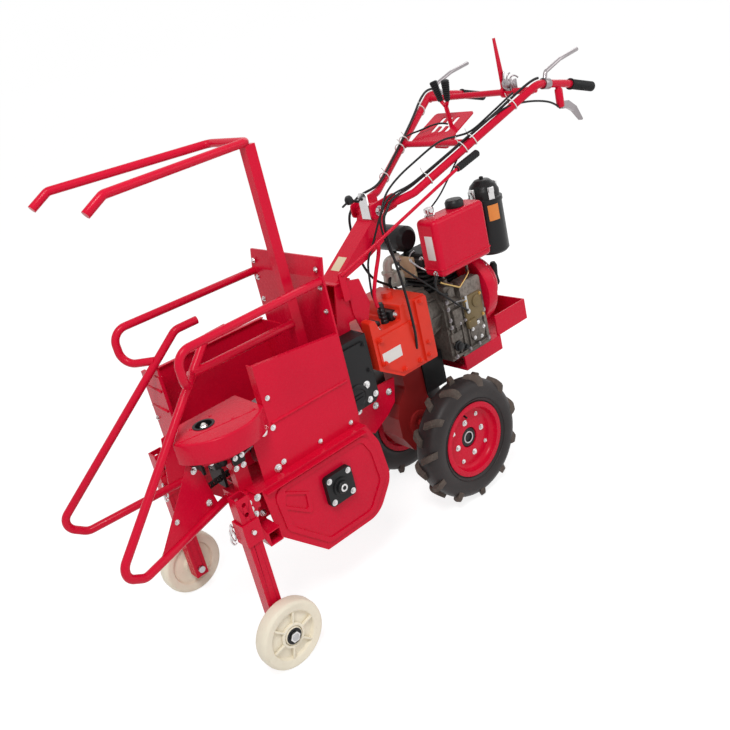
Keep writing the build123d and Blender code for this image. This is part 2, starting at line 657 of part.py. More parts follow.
# Crop pusher: post on the deck and a forked tube above the lane
post_half = POST / 2
post = box(
    POST_X - post_half, POST_X + post_half, POST_Y - post_half, POST_Y + post_half, deck_top,
    PUSH_Z - TUBE_R + 4)
fork_half = [
    (POST_X, POST_Y + 6, PUSH_Z), (PUSH_X, PUSH_Y, PUSH_Z), (PUSH_X + PUSH_HOOK, PUSH_Y, PUSH_Z - 29)]
fork = rod([(x, -y, z) for x, y, z in reversed(fork_half)] + fork_half, TUBE_R, 22)
post -= fork
P["pusher_post"] = post
P["pusher_fork"] = fork

# Head drive case behind the rear plate, with a raised cover and a round coupling
case_line = [
    (CASE_X, CASE_LOW + 16), (CASE_X, CASE_TOP), (PLATE_X, CASE_TOP), (PLATE_X, CASE_LOW),
    (CASE_X + 16, CASE_LOW)]
case = sheet_xz(case_line, CASE_RIGHT, CASE_LEFT)
case_mid = ((CASE_X + PLATE_X) / 2, (CASE_LOW + CASE_TOP) / 2)
case += sheet_xz(shrink(case_line, case_mid, 0.84), CASE_LEFT, CASE_LEFT + 6, 12)
case += cyl_x(0, case_mid[1] + 4, GEAR_X, CASE_X, COUPLING_R)
case += box(SHIELD_REAR, WALK_BACK, -WALK_HALF - PLATE_T, WALK_HALF + PLATE_T, AXLE_Z + 141, GEAR_LOW - 14)
P["drive_case"] = case

# Steering column: an open-fronted channel on the drive case, a cap plate and a slanting box to the pivot
step_x = CASE_X + 2
step_z = GEAR_TOP + 2
base_line = [
    (BASE_REAR, COLUMN_BEND), (COLUMN_FRONT + 14, COLUMN_BEND), (BASE_FRONT, CASE_TOP), (step_x, CASE_TOP),
    (step_x, step_z), (BASE_REAR, step_z)]
recess_line = [
    (BASE_REAR + BASE_WALL, COLUMN_BEND), (BASE_FRONT + 50, COLUMN_BEND),
    (BASE_FRONT + 50, CASE_TOP + BASE_WALL), (step_x + BASE_WALL, CASE_TOP + BASE_WALL),
    (step_x + BASE_WALL, step_z + BASE_WALL), (BASE_REAR + BASE_WALL, step_z + BASE_WALL)]
col = sheet_xz(base_line, -BASE_HALF, BASE_HALF)
col -= sheet_xz(recess_line, BASE_WALL - BASE_HALF, BASE_HALF - BASE_WALL)
col += box(BASE_REAR, COLUMN_FRONT + 16, -BASE_HALF - 3, BASE_HALF + 3, COLUMN_BEND, COLUMN_BEND + BASE_WALL)
gusset_line = [
    (BASE_REAR + 18, COLUMN_BEND + 3), (BASE_REAR - 30, COLUMN_BEND - 8), (BASE_REAR - 50, COLUMN_BEND - 92),
    (BASE_REAR - 18, NOTCH_Z), (BASE_REAR - 2, NOTCH_Z), (BASE_REAR + 18, COLUMN_BEND - 100)]
gusset = sheet_xz(gusset_line, BASE_HALF, BASE_HALF + BASE_WALL)
col += gusset + mirror_y(gusset)
half_w = COLUMN_W / 2
col += sheet_xz(
    [(COLUMN_FRONT, COLUMN_BEND + BASE_WALL), (PIVOT_X + 26, PIVOT_Z - 25), (PIVOT_X + 20, PIVOT_Z - 10),
     (PIVOT_X - 22, PIVOT_Z - 10), (PIVOT_X - 10, PIVOT_Z - 94), (PIVOT_X + 72, PIVOT_Z - 126),
     (BASE_REAR, COLUMN_BEND + BASE_WALL)], -half_w, half_w)
col += cyl_y(PIVOT_X, PIVOT_Z, -half_w, half_w, 22)
col -= cyl_y(PIVOT_X, PIVOT_Z, -half_w - 1, half_w + 1, PIVOT_R + PIVOT_FIT)
P["column"] = col

# Transmission: cast case with a linkage notch behind its left wall, a raised rear cover and bolt bosses
shoulder = GEAR_TOP - 5
notch_rear = GEAR_X - 124
gear_line = [
    (GEAR_X, GEAR_LOW + 56), (GEAR_X, shoulder), (GEAR_X - 22, shoulder), (GEAR_X - 36, NOTCH_Z),
    (notch_rear + 6, NOTCH_Z), (notch_rear, GEAR_TOP), (0, GEAR_TOP), (0, GEAR_LOW), (GEAR_X - 83, GEAR_LOW)]
gear = sheet_xz(gear_line, GEAR_RIGHT, GEAR_LEFT, 5)
gear -= box(notch_rear + 10, GEAR_X + 1, GEAR_RIGHT - 1, GEAR_LEFT - NOTCH_WALL, NOTCH_Z, GEAR_TOP + 1)
boss_end = GEAR_LEFT + 8
gear += sheet_xz(
    [(0, GEAR_LOW + 4), (46, GEAR_LOW + 4), (46, GEAR_TOP - 4), (0, GEAR_TOP - 4)], GEAR_LEFT, boss_end, 6)
gear += sheet_xz(
    [(60, GEAR_LOW + 10), (GEAR_X - 88, GEAR_LOW + 10), (GEAR_X - 12, GEAR_LOW + 62),
     (GEAR_X - 12, NOTCH_Z - 14), (60, NOTCH_Z - 14)], GEAR_LEFT, GEAR_LEFT + 4, 8)
boss_places = (
    (70, GEAR_LOW + 20), (GEAR_X - 90, GEAR_LOW + 22), (GEAR_X - 22, GEAR_LOW + 70),
    (GEAR_X - 22, NOTCH_Z - 24), (70, NOTCH_Z - 24))
for x, z in boss_places:
    gear += cyl_y(x, z, GEAR_LEFT, boss_end, 9)
gear += cyl_z(60, 0, GEAR_TOP - 1, GEAR_TOP + 16, 17)
P["gearbox"] = gear

# Walking case: rounded casting down to the axle with a bolted flange and an axle boss
walk_line = [
    (-50, AXLE_Z - 15), (-10, AXLE_Z - 55), (60, AXLE_Z - 55), (124, AXLE_Z - 15), (158, AXLE_Z + 45),
    (158, AXLE_Z + 115), (140, AXLE_Z + 160), (106, AXLE_Z + 200), (106, GEAR_LOW), (WALK_BACK, GEAR_LOW),
    (WALK_BACK, AXLE_Z + 125), (-50, AXLE_Z + 57)]
walking = sheet_xz(walk_line, -WALK_HALF, WALK_HALF, 16)
walking += box(WALK_BACK - 8, 124, -WALK_HALF - 15, WALK_HALF + 15, GEAR_LOW - 12, GEAR_LOW)
walking += cyl_y(0, AXLE_Z, -WALK_HALF - 17, WALK_HALF + 17, 44)
walking += cyl_y(80, AXLE_Z + 65, -WALK_HALF, WALK_HALF + 7, 40)
walking -= cyl_y(0, AXLE_Z, -WALK_HALF - 18, WALK_HALF + 18, AXLE_R)
P["walking_case"] = walking

# Engine tray of two channel rails on a plate, and the open rear tray
tray_top = TRAY_Z + TRAY_T
floor_low = ENGINE_Z - TRAY_T
tray = box(TRAY_REAR, TRAY_FRONT, -TRAY_HALF, TRAY_HALF, TRAY_Z, tray_top)
web_in = TRAY_HALF - TRAY_T
flange_in = TRAY_HALF - TRAY_FLANGE
for s in (1, -1):
    tray += box(TRAY_REAR, TRAY_FRONT, s * TRAY_HALF, s * web_in, tray_top, ENGINE_Z)
    tray += box(TRAY_REAR, TRAY_FRONT, s * web_in, s * flange_in, floor_low, ENGINE_Z)
P["engine_tray"] = tray
tray_in = REAR_TRAY_HALF - TRAY_T
wall_top = floor_low + REAR_TRAY_WALL
rear = box(REAR_TRAY_END, TRAY_REAR, -REAR_TRAY_HALF, REAR_TRAY_HALF, floor_low, wall_top)
rear -= box(REAR_TRAY_END + TRAY_T, TRAY_REAR + 1, -tray_in, tray_in, ENGINE_Z, wall_top + 1)
P["rear_tray"] = rear

# Engine block: chamfered crankcase on feet, ribbed bell against the gearbox, governor case and tank brackets
block_line = [
    (-BLOCK_HALF, ENGINE_Z), (BLOCK_HALF, ENGINE_Z), (BLOCK_HALF, BLOCK_TOP - 40), (TANK_Y0 + 11, BLOCK_TOP),
    (20 - BLOCK_HALF, BLOCK_TOP), (-BLOCK_HALF, BLOCK_TOP - 20)]
crankcase = sheet_yz(block_line, BLOCK_REAR, BLOCK_FRONT)
feet = BLOCK_HALF + 9
crankcase += box(BLOCK_REAR + 10, BLOCK_FRONT - 42, -feet, feet, ENGINE_Z, ENGINE_Z + 10)
bell_lip = -14
crankcase += revolve_x(
    [(0, 0), (0, BELL_R), (bell_lip, BELL_R), (bell_lip, BELL_R - 7), (BLOCK_FRONT, BELL_R - 20),
     (BLOCK_FRONT, 0)], 0, CRANK_Z)
bell_rib = sheet_xz(
    [(bell_lip, BELL_R - 12), (bell_lip, BELL_R - 1), (BLOCK_FRONT, BELL_R - 13),
     (BLOCK_FRONT, BELL_R - 25)], -3, 3)
for i in range(BELL_RIBS):
    crankcase += Pos(0, 0, CRANK_Z) * Rot(360.0 / BELL_RIBS * (i + 0.5), 0, 0) * bell_rib
x0, x1, z0, z1 = GOVERNOR
crankcase += sheet_xz([(x0, z0), (x1, z0), (x1, z1), (x0, z1)], TANK_Y0, BLOCK_HALF + 8, 14)
crankcase += cyl_y(x0 + 45, z0 - 58, BLOCK_HALF, BLOCK_HALF + 7, 34)
for x in (x0 + 6, BLOCK_FRONT - 28):
    crankcase += box(x, x + 6, TANK_Y0 + 3, TANK_Y0 + 11, BLOCK_TOP, TANK_LOW)
P["crankcase"] = crankcase

# Fan cover with its air duct, and the slotted recoil cover with a pull handle
fan_rear = BLOCK_REAR - FAN_DEPTH
fan = revolve_x(
    [(BLOCK_REAR, 0), (BLOCK_REAR, FAN_R), (fan_rear + 22, FAN_R), (fan_rear, FAN_R - 22), (fan_rear, 0)],
    0, CRANK_Z)
duct_top = HEAD_TOP - 36
fan += sheet_xz(
    [(BLOCK_REAR, BLOCK_TOP), (FIN_REAR, BLOCK_TOP), (FIN_REAR, duct_top), (BLOCK_REAR + 8, duct_top),
     (BLOCK_REAR, duct_top - 20)], FIN_RIGHT + 3, FIN_LEFT - 4)
P["fan_cover"] = fan
recoil_rear = fan_rear - RECOIL_DEPTH
recoil = revolve_x(
    [(fan_rear, 0), (fan_rear, RECOIL_R), (recoil_rear + 12, RECOIL_R), (recoil_rear, RECOIL_R - 8),
     (recoil_rear, 0)], 0, CRANK_Z)
for i in range(12):
    slot = box(recoil_rear - 1, recoil_rear + 6, -5, 5, RECOIL_R * 0.42, RECOIL_R * 0.8)
    recoil -= Pos(0, 0, CRANK_Z) * Rot(30 * i, 0, 0) * slot
guide_y = RECOIL_R * 0.62
guide_z = CRANK_Z - 6
recoil += cyl_x(guide_y, guide_z, recoil_rear - 6, fan_rear, 14)
P["recoil_cover"] = recoil
pull_x = recoil_rear - 20
pull = revolve_z([(0, -14), (9, -14), (13, -6), (10, 20), (13, 54), (8, 66), (0, 66)], 0, 0)
pull += cyl_x(0, 0, 0, recoil_rear - 6 - pull_x, 7)
P["recoil_handle"] = Pos(pull_x, guide_y, guide_z) * pull

# Finned cylinder, head and rocker cover
fin_line = [(FIN_REAR, FIN_RIGHT), (FIN_FRONT, FIN_RIGHT), (FIN_FRONT, FIN_LEFT), (FIN_REAR, FIN_LEFT)]
fin_mid = ((FIN_REAR + FIN_FRONT) / 2, (FIN_RIGHT + FIN_LEFT) / 2)
head_low = HEAD_TOP - 20
cylinder = box(FIN_REAR + 20, FIN_FRONT - 20, FIN_RIGHT + 16, FIN_LEFT - 14, BLOCK_TOP, head_low)
for i in range(FIN_COUNT):
    z = BLOCK_TOP + 14 + FIN_PITCH * i
    cylinder += sheet_xy(fin_line, z, z + FIN_T, 16)
cylinder += sheet_xy(fin_line, head_low, HEAD_TOP, 10)
rocker = sheet_xy(shrink(fin_line, fin_mid, 0.74), HEAD_TOP, ROCKER_TOP, 14)
cylinder += fillet(rocker.faces().sort_by(Axis.Z)[-1].edges(), 6)
P["cylinder"] = cylinder

# Fuel tank with rounded edges, its seam and cap
tank_rear = TANK_X - TANK_LENGTH / 2
tank_front = TANK_X + TANK_LENGTH / 2
tank = box(tank_rear, tank_front, TANK_Y0, TANK_Y1, TANK_LOW, TANK_TOP)
tank = fillet(tank.edges(), TANK_ROUND)
seam = box(tank_rear - 3, tank_front + 3, TANK_Y0 - 3, TANK_Y1 + 3, TANK_LOW + 24, TANK_LOW + 28)
tank += fillet(seam.edges().filter_by(Axis.Z), TANK_ROUND + 2)
P["tank"] = tank
cap_line = [
    (0, TANK_TOP), (CAP_R, TANK_TOP), (CAP_R, TANK_TOP + 16), (CAP_R - 5, TANK_TOP + 24), (0, TANK_TOP + 25)]
P["tank_cap"] = revolve_z(cap_line, CAP_X, (TANK_Y0 + TANK_Y1) / 2 - 4)

# Tall air cleaner with a domed cap and its inlet pipe
band = FILTER_LOW + 170
air = revolve_z(
    [(0, FILTER_LOW), (FILTER_R - 8, FILTER_LOW), (FILTER_R, FILTER_LOW + 8), (FILTER_R, band),
     (FILTER_R + 3, band), (FILTER_R + 3, band + 12), (FILTER_R - 4, band + 16),
     (FILTER_R - 4, FILTER_TOP - 42), (FILTER_R - 13, FILTER_TOP - 22), (FILTER_R - 30, FILTER_TOP - 6),
     (0, FILTER_TOP)], FILTER_X, FILTER_Y)
pipe_z = HEAD_TOP - 10
air += rod([(FIN_REAR, 0, pipe_z), (FILTER_X, 0, pipe_z), (FILTER_X, FILTER_Y - 30, pipe_z)], PIPE_R, 30)
P["air_cleaner"] = air

# Muffler with coned ends and its elbow from the head
muffler_in = MUFFLER_R - 12
muffler = revolve_y(
    [(0, MUFFLER_FAR), (muffler_in, MUFFLER_FAR), (MUFFLER_R, MUFFLER_FAR + 12),
     (MUFFLER_R, MUFFLER_NEAR - 12), (muffler_in, MUFFLER_NEAR), (0, MUFFLER_NEAR)], MUFFLER_X, MUFFLER_Z)
elbow_y = FIN_RIGHT - 26
muffler += rod(
    [(MUFFLER_X, FIN_RIGHT, pipe_z), (MUFFLER_X, elbow_y, pipe_z), (MUFFLER_X, elbow_y, MUFFLER_Z - 24)],
    PIPE_R - 1, 16)
tail_x = MUFFLER_X + 12
muffler += straight((tail_x, MUFFLER_FAR + 4, MUFFLER_Z), (tail_x, MUFFLER_FAR - 38, MUFFLER_Z + 8), 12)
P["muffler"] = muffler

# Handlebar: two bent tubes from the pivot ears to the grips, with two cross tubes and a clutch tube
ear_y = half_w + EAR_GAP
bracket = cyl_y(PIVOT_X, PIVOT_Z, -ear_y - 16, ear_y + 16, PIVOT_R)
ear_line = [
    (PIVOT_X + 30, PIVOT_Z - 21), (PIVOT_X + 30, PIVOT_Z + 24), (PIVOT_X - 75, PIVOT_Z + 34),
    (PIVOT_X - 75, PIVOT_Z - 11)]
ear = sheet_xz(ear_line, ear_y, ear_y + EAR_T, 12)
bracket += ear + mirror_y(ear)
P["handle_bracket"] = bracket
tube_y = ear_y + EAR_T + HANDLE_R
grip_way = (HANDLE_X - 195, HANDLE_Z - 48)
left = rod(
    [(PIVOT_X - 25, tube_y, PIVOT_Z + 8), (ELBOW_X, tube_y + 24, ELBOW_Z), (HANDLE_X, HANDLE_Y, HANDLE_Z),
     (HANDLE_X - 135, HANDLE_Y, HANDLE_Z - 30), (grip_way[0], HANDLE_Y, grip_way[1])], HANDLE_R, 60)
bars = cyl_y(*REAR_CROSS, -HANDLE_Y, HANDLE_Y, CROSS_R)
bars += cyl_y(*FRONT_CROSS, -HANDLE_Y * 0.66, HANDLE_Y * 0.66, CROSS_R)
clutch_x = HANDLE_X - 95
bars += cyl_z(clutch_x, HANDLE_Y, HANDLE_Z - 94, HANDLE_Z - 22, 9)
handle = left + mirror_y(left) + bars - bracket
P["handle_frame"] = handle

# Grips on the tube ends and the pair of knobs on the shift lever
grip = straight(
    (grip_way[0] + 40, HANDLE_Y, grip_way[1] + 12), (grip_way[0] - 72, HANDLE_Y, grip_way[1] - 21.6), GRIP_R)
grip -= left
grips = grip + mirror_y(grip)
knob_foot = (FRONT_CROSS[0] - 73, 0, HANDLE_Z - 12)
stems = []
for s in (1, -1):
    root = (knob_foot[0], s * 3, knob_foot[2])
    neck = (knob_foot[0] + 3, s * 14, knob_foot[2] + 16)
    tip = (knob_foot[0] + 11, s * 26, knob_foot[2] + 80)
    grips += straight(neck, tip, KNOB_R)
    stems.append(straight(root, neck, 6))
P["handle_grips"] = grips

# Hand levers in clamps on the tubes, and the curved clutch blade under the left tube
clamp = straight(
    (HANDLE_X - 23, HANDLE_Y, HANDLE_Z - 5), (HANDLE_X - 49, HANDLE_Y, HANDLE_Z - 11), HANDLE_R + 5)
lever = rod(
    [(HANDLE_X - 36, HANDLE_Y, HANDLE_Z + 5), (HANDLE_X - 44, HANDLE_Y, HANDLE_Z + 26),
     (HANDLE_X - 120, HANDLE_Y, HANDLE_Z + 48), (HANDLE_X - 212, HANDLE_Y, HANDLE_Z + 60)], LEVER_R, 12)
lever += clamp
lever -= left
blade_top = HANDLE_Z - 78
blade_line = [
    (clutch_x - 2, blade_top), (clutch_x - 36, blade_top - 3), (clutch_x - 72, blade_top - 30),
    (clutch_x - 98, blade_top - 78), (clutch_x - 90, blade_top - 80), (clutch_x - 56, blade_top - 42),
    (clutch_x - 30, blade_top - 26), (clutch_x - 2, blade_top - 22)]
clutch = sheet_xz(blade_line, HANDLE_Y - LEVER_R, HANDLE_Y + LEVER_R, 3)
clutch -= handle
P["hand_levers"] = lever + mirror_y(lever) + clutch

# Flat lever on the rear cross tube and the shift lever that rises through the gate
cross_x, cross_z = REAR_CROSS
flat_z = cross_z + 167
flat = sheet_xz(
    [(cross_x - 11, cross_z), (cross_x + 11, cross_z), (cross_x + 16, flat_z), (cross_x + 8, flat_z)],
    HANDLE_Y * 0.465, HANDLE_Y * 0.487)
flat += cyl_y(cross_x, cross_z, HANDLE_Y * 0.45, HANDLE_Y * 0.50, 17)
gate_x, gate_z = FRONT_CROSS
shift_lever = rod(
    [(gate_x, 0, gate_z - 8), (gate_x - 45, 0, gate_z - 22), (gate_x - 86, 0, gate_z), knob_foot], 7, 14)
levers = flat + shift_lever + stems
levers -= handle
levers -= grips
P["control_levers"] = levers

# Slotted gate plate in the plane of the cross tubes
rise = Vector(cross_x - gate_x, 0, cross_z - gate_z).normalized()
gate_plane = Plane(origin=(gate_x, 0, gate_z), x_dir=(rise.X, rise.Y, rise.Z), z_dir=(rise.Z, 0, -rise.X))
gate_sketch = Pos(78, 35) * RectangleRounded(156, 170, 12)
for v in (0, 30, 60):
    gate_sketch -= Pos(94, v) * SlotOverall(78, 18)
gate_sketch -= Pos(94, 30) * SlotOverall(78, 18, rotation=90)
gate = extrude(gate_plane * gate_sketch, amount=2, both=True)
gate -= handle
P["gate_plate"] = gate

# Selector arm on the column base with its rod and grip back to the operator
arm_x = COLUMN_FRONT - 8
arm_y = BASE_HALF + BASE_WALL
selector = cyl_y(arm_x, COLUMN_BEND - 36, BASE_HALF, arm_y + 12, 10)
selector += sheet_xz(
    [(arm_x - 12, COLUMN_BEND - 50), (arm_x + 12, COLUMN_BEND - 50), (arm_x + 12, COLUMN_BEND + 36),
     (arm_x - 8, COLUMN_BEND + 36)], arm_y + 6, arm_y + 12, 6)
grip_foot = (PIVOT_X - 241, 150, PIVOT_Z + 54)
selector += rod(
    [(arm_x + 2, arm_y + 10, COLUMN_BEND + 26), grip_foot, (PIVOT_X - 300, 155, PIVOT_Z + 70)], 5, 40)
selector += straight(grip_foot, (PIVOT_X - 328, 157, PIVOT_Z + 77), 10)
P["selector_rod"] = selector

# Control cables: on top of the tubes to the pivot line, then down to the gearbox and the engine
meet = (PIVOT_X, tube_y + 21, PIVOT_Z)
cable = rod(
    [(HANDLE_X - 17, HANDLE_Y - 10, HANDLE_Z + 14), (HANDLE_X + 5, HANDLE_Y - 9.5, HANDLE_Z + 12.4),
     (ELBOW_X, tube_y + 14, ELBOW_Z + 15), (PIVOT_X - 20, meet[1], PIVOT_Z + 26),
     (meet[0] - CABLE_GAP, meet[1], meet[2])], CABLE_R, 14)
P["cables_handle"] = cable + mirror_y(cable)
down = rod(
    [(meet[0] + CABLE_GAP, meet[1], meet[2]), (PIVOT_X + 22, meet[1] - 6, PIVOT_Z - 20),
     (PIVOT_X + 25, GEAR_LEFT + 16, GEAR_TOP + 20), (PIVOT_X + 18, GEAR_LEFT + 12, GEAR_LOW + 90),
     (PIVOT_X + 18, GEAR_LEFT + 2, GEAR_LOW + 60)], CABLE_R, 10)
across = rod(
    [(meet[0] + CABLE_GAP, -meet[1], meet[2]), (PIVOT_X + 22, -meet[1] - 6, PIVOT_Z - 30),
     (PIVOT_X + 10, -meet[1], GEAR_TOP + 60), (-30, -60, BLOCK_TOP + 50),
     (BLOCK_FRONT + 8, -60, BLOCK_TOP - 4)], CABLE_R, 14)
cables = down + across
cables -= gear
cables -= crankcase
P["cables_frame"] = cables

boxes = [shape.bounding_box() for shape in P.values()]
shift = (
    -(min(b.min.X for b in boxes) + max(b.max.X for b in boxes)) / 2,
    -(min(b.min.Y for b in boxes) + max(b.max.Y for b in boxes)) / 2,
    -min(b.min.Z for b in boxes),
)

os.makedirs("parts", exist_ok=True)
for name, shape in P.items():
    export_step(Pos(*shift) * shape, "parts/" + name + ".step")
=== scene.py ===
import json
import math

import bmesh
import bpy
from mathutils import Matrix, Vector


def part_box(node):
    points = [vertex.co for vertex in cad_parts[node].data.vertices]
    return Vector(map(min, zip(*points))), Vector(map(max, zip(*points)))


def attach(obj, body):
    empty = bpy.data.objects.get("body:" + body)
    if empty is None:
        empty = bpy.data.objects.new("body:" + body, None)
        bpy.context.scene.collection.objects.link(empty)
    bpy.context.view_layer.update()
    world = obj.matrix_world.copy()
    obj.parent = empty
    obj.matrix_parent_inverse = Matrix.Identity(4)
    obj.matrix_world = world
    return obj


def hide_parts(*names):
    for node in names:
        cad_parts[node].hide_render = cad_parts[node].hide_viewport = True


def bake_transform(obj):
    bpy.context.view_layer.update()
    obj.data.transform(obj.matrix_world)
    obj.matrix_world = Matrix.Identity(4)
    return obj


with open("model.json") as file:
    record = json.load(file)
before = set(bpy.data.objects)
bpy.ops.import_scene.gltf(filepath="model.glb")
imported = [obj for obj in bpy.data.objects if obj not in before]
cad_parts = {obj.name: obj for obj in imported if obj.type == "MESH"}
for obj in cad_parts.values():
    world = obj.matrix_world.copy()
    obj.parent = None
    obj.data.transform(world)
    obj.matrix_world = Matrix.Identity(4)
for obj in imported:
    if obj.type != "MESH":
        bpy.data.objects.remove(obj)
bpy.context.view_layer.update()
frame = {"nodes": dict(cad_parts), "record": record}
nodes = frame["nodes"]

# Places are written in millimetres from the drive axle's line on the ground, as on a drawing of the machine
MM = 0.001
axle_low, axle_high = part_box("drive_axle")
AXLE_X = (axle_low[0] + axle_high[0]) / 2

IMAGE_PX = 730
FOCAL_PX = 835.44
CENTRE_PX = (366.87, 320.59)
CAMERA_AT = (1567.5, 1897.0, 1536.9)
CAMERA_AHEAD = (-0.5590, -0.7512, -0.3511)
CAMERA_RIGHT = (-0.7320, 0.6460, -0.2167)

BODY = "machine_frame"
BAR = "handlebar"
LEFT = (0, 1, 0)
FORWARD = (1, 0, 0)
UP = (0, 0, 1)


def at(x, y, z):
    return Vector((AXLE_X + x * MM, y * MM, z * MM))


def corners(node):
    return [((c[0] - AXLE_X) / MM, c[1] / MM, c[2] / MM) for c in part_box(node)]


# Materials
def new_material(name):
    material = bpy.data.materials.new(name)
    material.use_nodes = True
    tree = material.node_tree
    shader = tree.nodes["Principled BSDF"]
    coords = tree.nodes.new("ShaderNodeTexCoord")
    return material, tree, shader, coords


def noise(tree, coords, scale, detail=4.0, rough=0.55):
    node = tree.nodes.new("ShaderNodeTexNoise")
    node.inputs["Scale"].default_value = scale
    node.inputs["Detail"].default_value = detail
    node.inputs["Roughness"].default_value = rough
    tree.links.new(coords.outputs["Object"], node.inputs["Vector"])
    return node.outputs["Fac"]


def ramp(tree, value, stops):
    node = tree.nodes.new("ShaderNodeValToRGB")
    elements = node.color_ramp.elements
    elements[0].position, elements[0].color = stops[0][0], (*stops[0][1], 1)
    elements[1].position, elements[1].color = stops[-1][0], (*stops[-1][1], 1)
    for place, colour in stops[1:-1]:
        elements.new(place).color = (*colour, 1)
    tree.links.new(value, node.inputs["Fac"])
    return node.outputs["Color"]


def spread(tree, value, low, high):
    node = tree.nodes.new("ShaderNodeMapRange")
    node.inputs["From Min"].default_value = 0.3
    node.inputs["From Max"].default_value = 0.7
    node.inputs["To Min"].default_value = low
    node.inputs["To Max"].default_value = high
    tree.links.new(value, node.inputs["Value"])
    return node.outputs["Result"]


def blend_colours(tree, factor, first, second):
    node = tree.nodes.new("ShaderNodeMix")
    node.data_type = "RGBA"
    tree.links.new(factor, node.inputs["Factor"])
    tree.links.new(first, node.inputs[6])
    tree.links.new(second, node.inputs[7])
    return node.outputs[2]


def bump(tree, shader, value, strength, distance):
    node = tree.nodes.new("ShaderNodeBump")
    node.inputs["Strength"].default_value = strength
    node.inputs["Distance"].default_value = distance
    tree.links.new(value, node.inputs["Height"])
    tree.links.new(node.outputs["Normal"], shader.inputs["Normal"])


def tint(colour, factor):
    return tuple(min(1.0, c * factor) for c in colour)


PAINT_GRAIN = (300.0, 0.06, 0.0004)
CAST_GRAIN = (240.0, 0.40, 0.0008)
RUBBER_GRAIN = (520.0, 0.25, 0.0005)
NYLON_GRAIN = (160.0, 0.12, 0.0006)
PLASTIC_GRAIN = (420.0, 0.12, 0.0003)


def surface(
        name, colour, rough, dirt, metallic=0.0, spec=0.22, coat=0.0,
        grain=PAINT_GRAIN, mottle=0.10, speck=0.62):
    material, tree, shader, coords = new_material(name)
    broad = noise(tree, coords, 7.0)
    fine = noise(tree, coords, 90.0, 6.0, 0.7)
    base = ramp(
        tree, broad, [(0.30, tint(colour, 1 - mottle)), (0.50, colour), (0.72, tint(colour, 1 + mottle))])
    specks = ramp(tree, fine, [(speck, (0, 0, 0)), (speck + 0.16, (0.5, 0.5, 0.5))])
    soil = ramp(tree, broad, [(0.35, dirt), (0.65, tint(dirt, 1.25))])
    tree.links.new(blend_colours(tree, specks, base, soil), shader.inputs["Base Color"])
    tree.links.new(spread(tree, fine, rough - 0.06, rough + 0.10), shader.inputs["Roughness"])
    shader.inputs["Metallic"].default_value = metallic
    shader.inputs["Specular IOR Level"].default_value = spec
    shader.inputs["Coat Weight"].default_value = coat
    shader.inputs["Coat Roughness"].default_value = 0.10
    scale, strength, distance = grain
    bump(tree, shader, noise(tree, coords, scale, 3.0), strength, distance)
    return material


red_paint = surface(
    "red_paint", (0.63, 0.004, 0.031), 0.24, (0.40, 0.005, 0.018),
    spec=0.14, coat=0.02, mottle=0.06, speck=0.66)
brown_paint = surface("brown_paint", (0.25, 0.014, 0.014), 0.42, (0.10, 0.028, 0.022), mottle=0.16)
orange_paint = surface(
    "orange_paint", (0.72, 0.030, 0.012), 0.34, (0.36, 0.024, 0.014), spec=0.28, mottle=0.10)
black_paint = surface("black_paint", (0.012, 0.012, 0.013), 0.38, (0.035, 0.032, 0.030), mottle=0.2)
tyre_rubber = surface(
    "tyre_rubber", (0.028, 0.023, 0.023), 0.42, (0.066, 0.047, 0.036),
    grain=RUBBER_GRAIN, mottle=0.25, speck=0.58)
lug_rubber = surface(
    "lug_rubber", (0.085, 0.066, 0.056), 0.70, (0.15, 0.12, 0.10), grain=RUBBER_GRAIN, mottle=0.3, speck=0.50)
nylon = surface(
    "nylon", (0.86, 0.79, 0.64), 0.42, (0.62, 0.54, 0.40), grain=NYLON_GRAIN, mottle=0.09, speck=0.58)
steel = surface("steel", (0.46, 0.46, 0.47), 0.36, (0.16, 0.12, 0.09), metallic=1.0, mottle=0.14)
zinc = surface("zinc", (0.66, 0.65, 0.65), 0.24, (0.40, 0.38, 0.36), metallic=1.0, mottle=0.10)
cast_alloy = surface(
    "cast_alloy", (0.19, 0.165, 0.145), 0.46, (0.035, 0.028, 0.022),
    metallic=0.5, grain=CAST_GRAIN, mottle=0.45, speck=0.47)
tan_alloy = surface(
    "tan_alloy", (0.50, 0.38, 0.24), 0.50, (0.24, 0.17, 0.10), metallic=0.3, grain=CAST_GRAIN, mottle=0.15)
pale_alloy = surface(
    "pale_alloy", (0.58, 0.58, 0.52), 0.44, (0.30, 0.28, 0.24), metallic=0.2, grain=CAST_GRAIN, mottle=0.15)
lever_metal = surface("lever_metal", (0.34, 0.31, 0.32), 0.26, (0.16, 0.12, 0.12), metallic=1.0, mottle=0.2)
olive_cast = surface(
    "olive_cast", (0.17, 0.125, 0.062), 0.50, (0.07, 0.05, 0.03), metallic=0.3, grain=CAST_GRAIN, mottle=0.25)
cast_iron = surface(
    "cast_iron", (0.022, 0.021, 0.021), 0.55, (0.06, 0.05, 0.04), metallic=0.2, grain=CAST_GRAIN, mottle=0.25)
grip_rubber = surface(
    "grip_rubber", (0.010, 0.010, 0.011), 0.55, (0.035, 0.033, 0.03), grain=RUBBER_GRAIN, mottle=0.2)
black_plastic = surface(
    "black_plastic", (0.012, 0.012, 0.013), 0.34, (0.035, 0.033, 0.032), grain=PLASTIC_GRAIN, mottle=0.2)
tie_plastic = surface("tie_plastic", (0.78, 0.78, 0.75), 0.40, (0.5, 0.48, 0.44), mottle=0.05)
label_white = surface("label_white", (0.74, 0.71, 0.68), 0.42, (0.50, 0.44, 0.38), mottle=0.05)
label_cream = surface("label_cream", (0.76, 0.68, 0.46), 0.42, (0.50, 0.42, 0.26), mottle=0.06)
label_orange = surface("label_orange", (0.74, 0.25, 0.06), 0.42, (0.46, 0.16, 0.06), mottle=0.06)
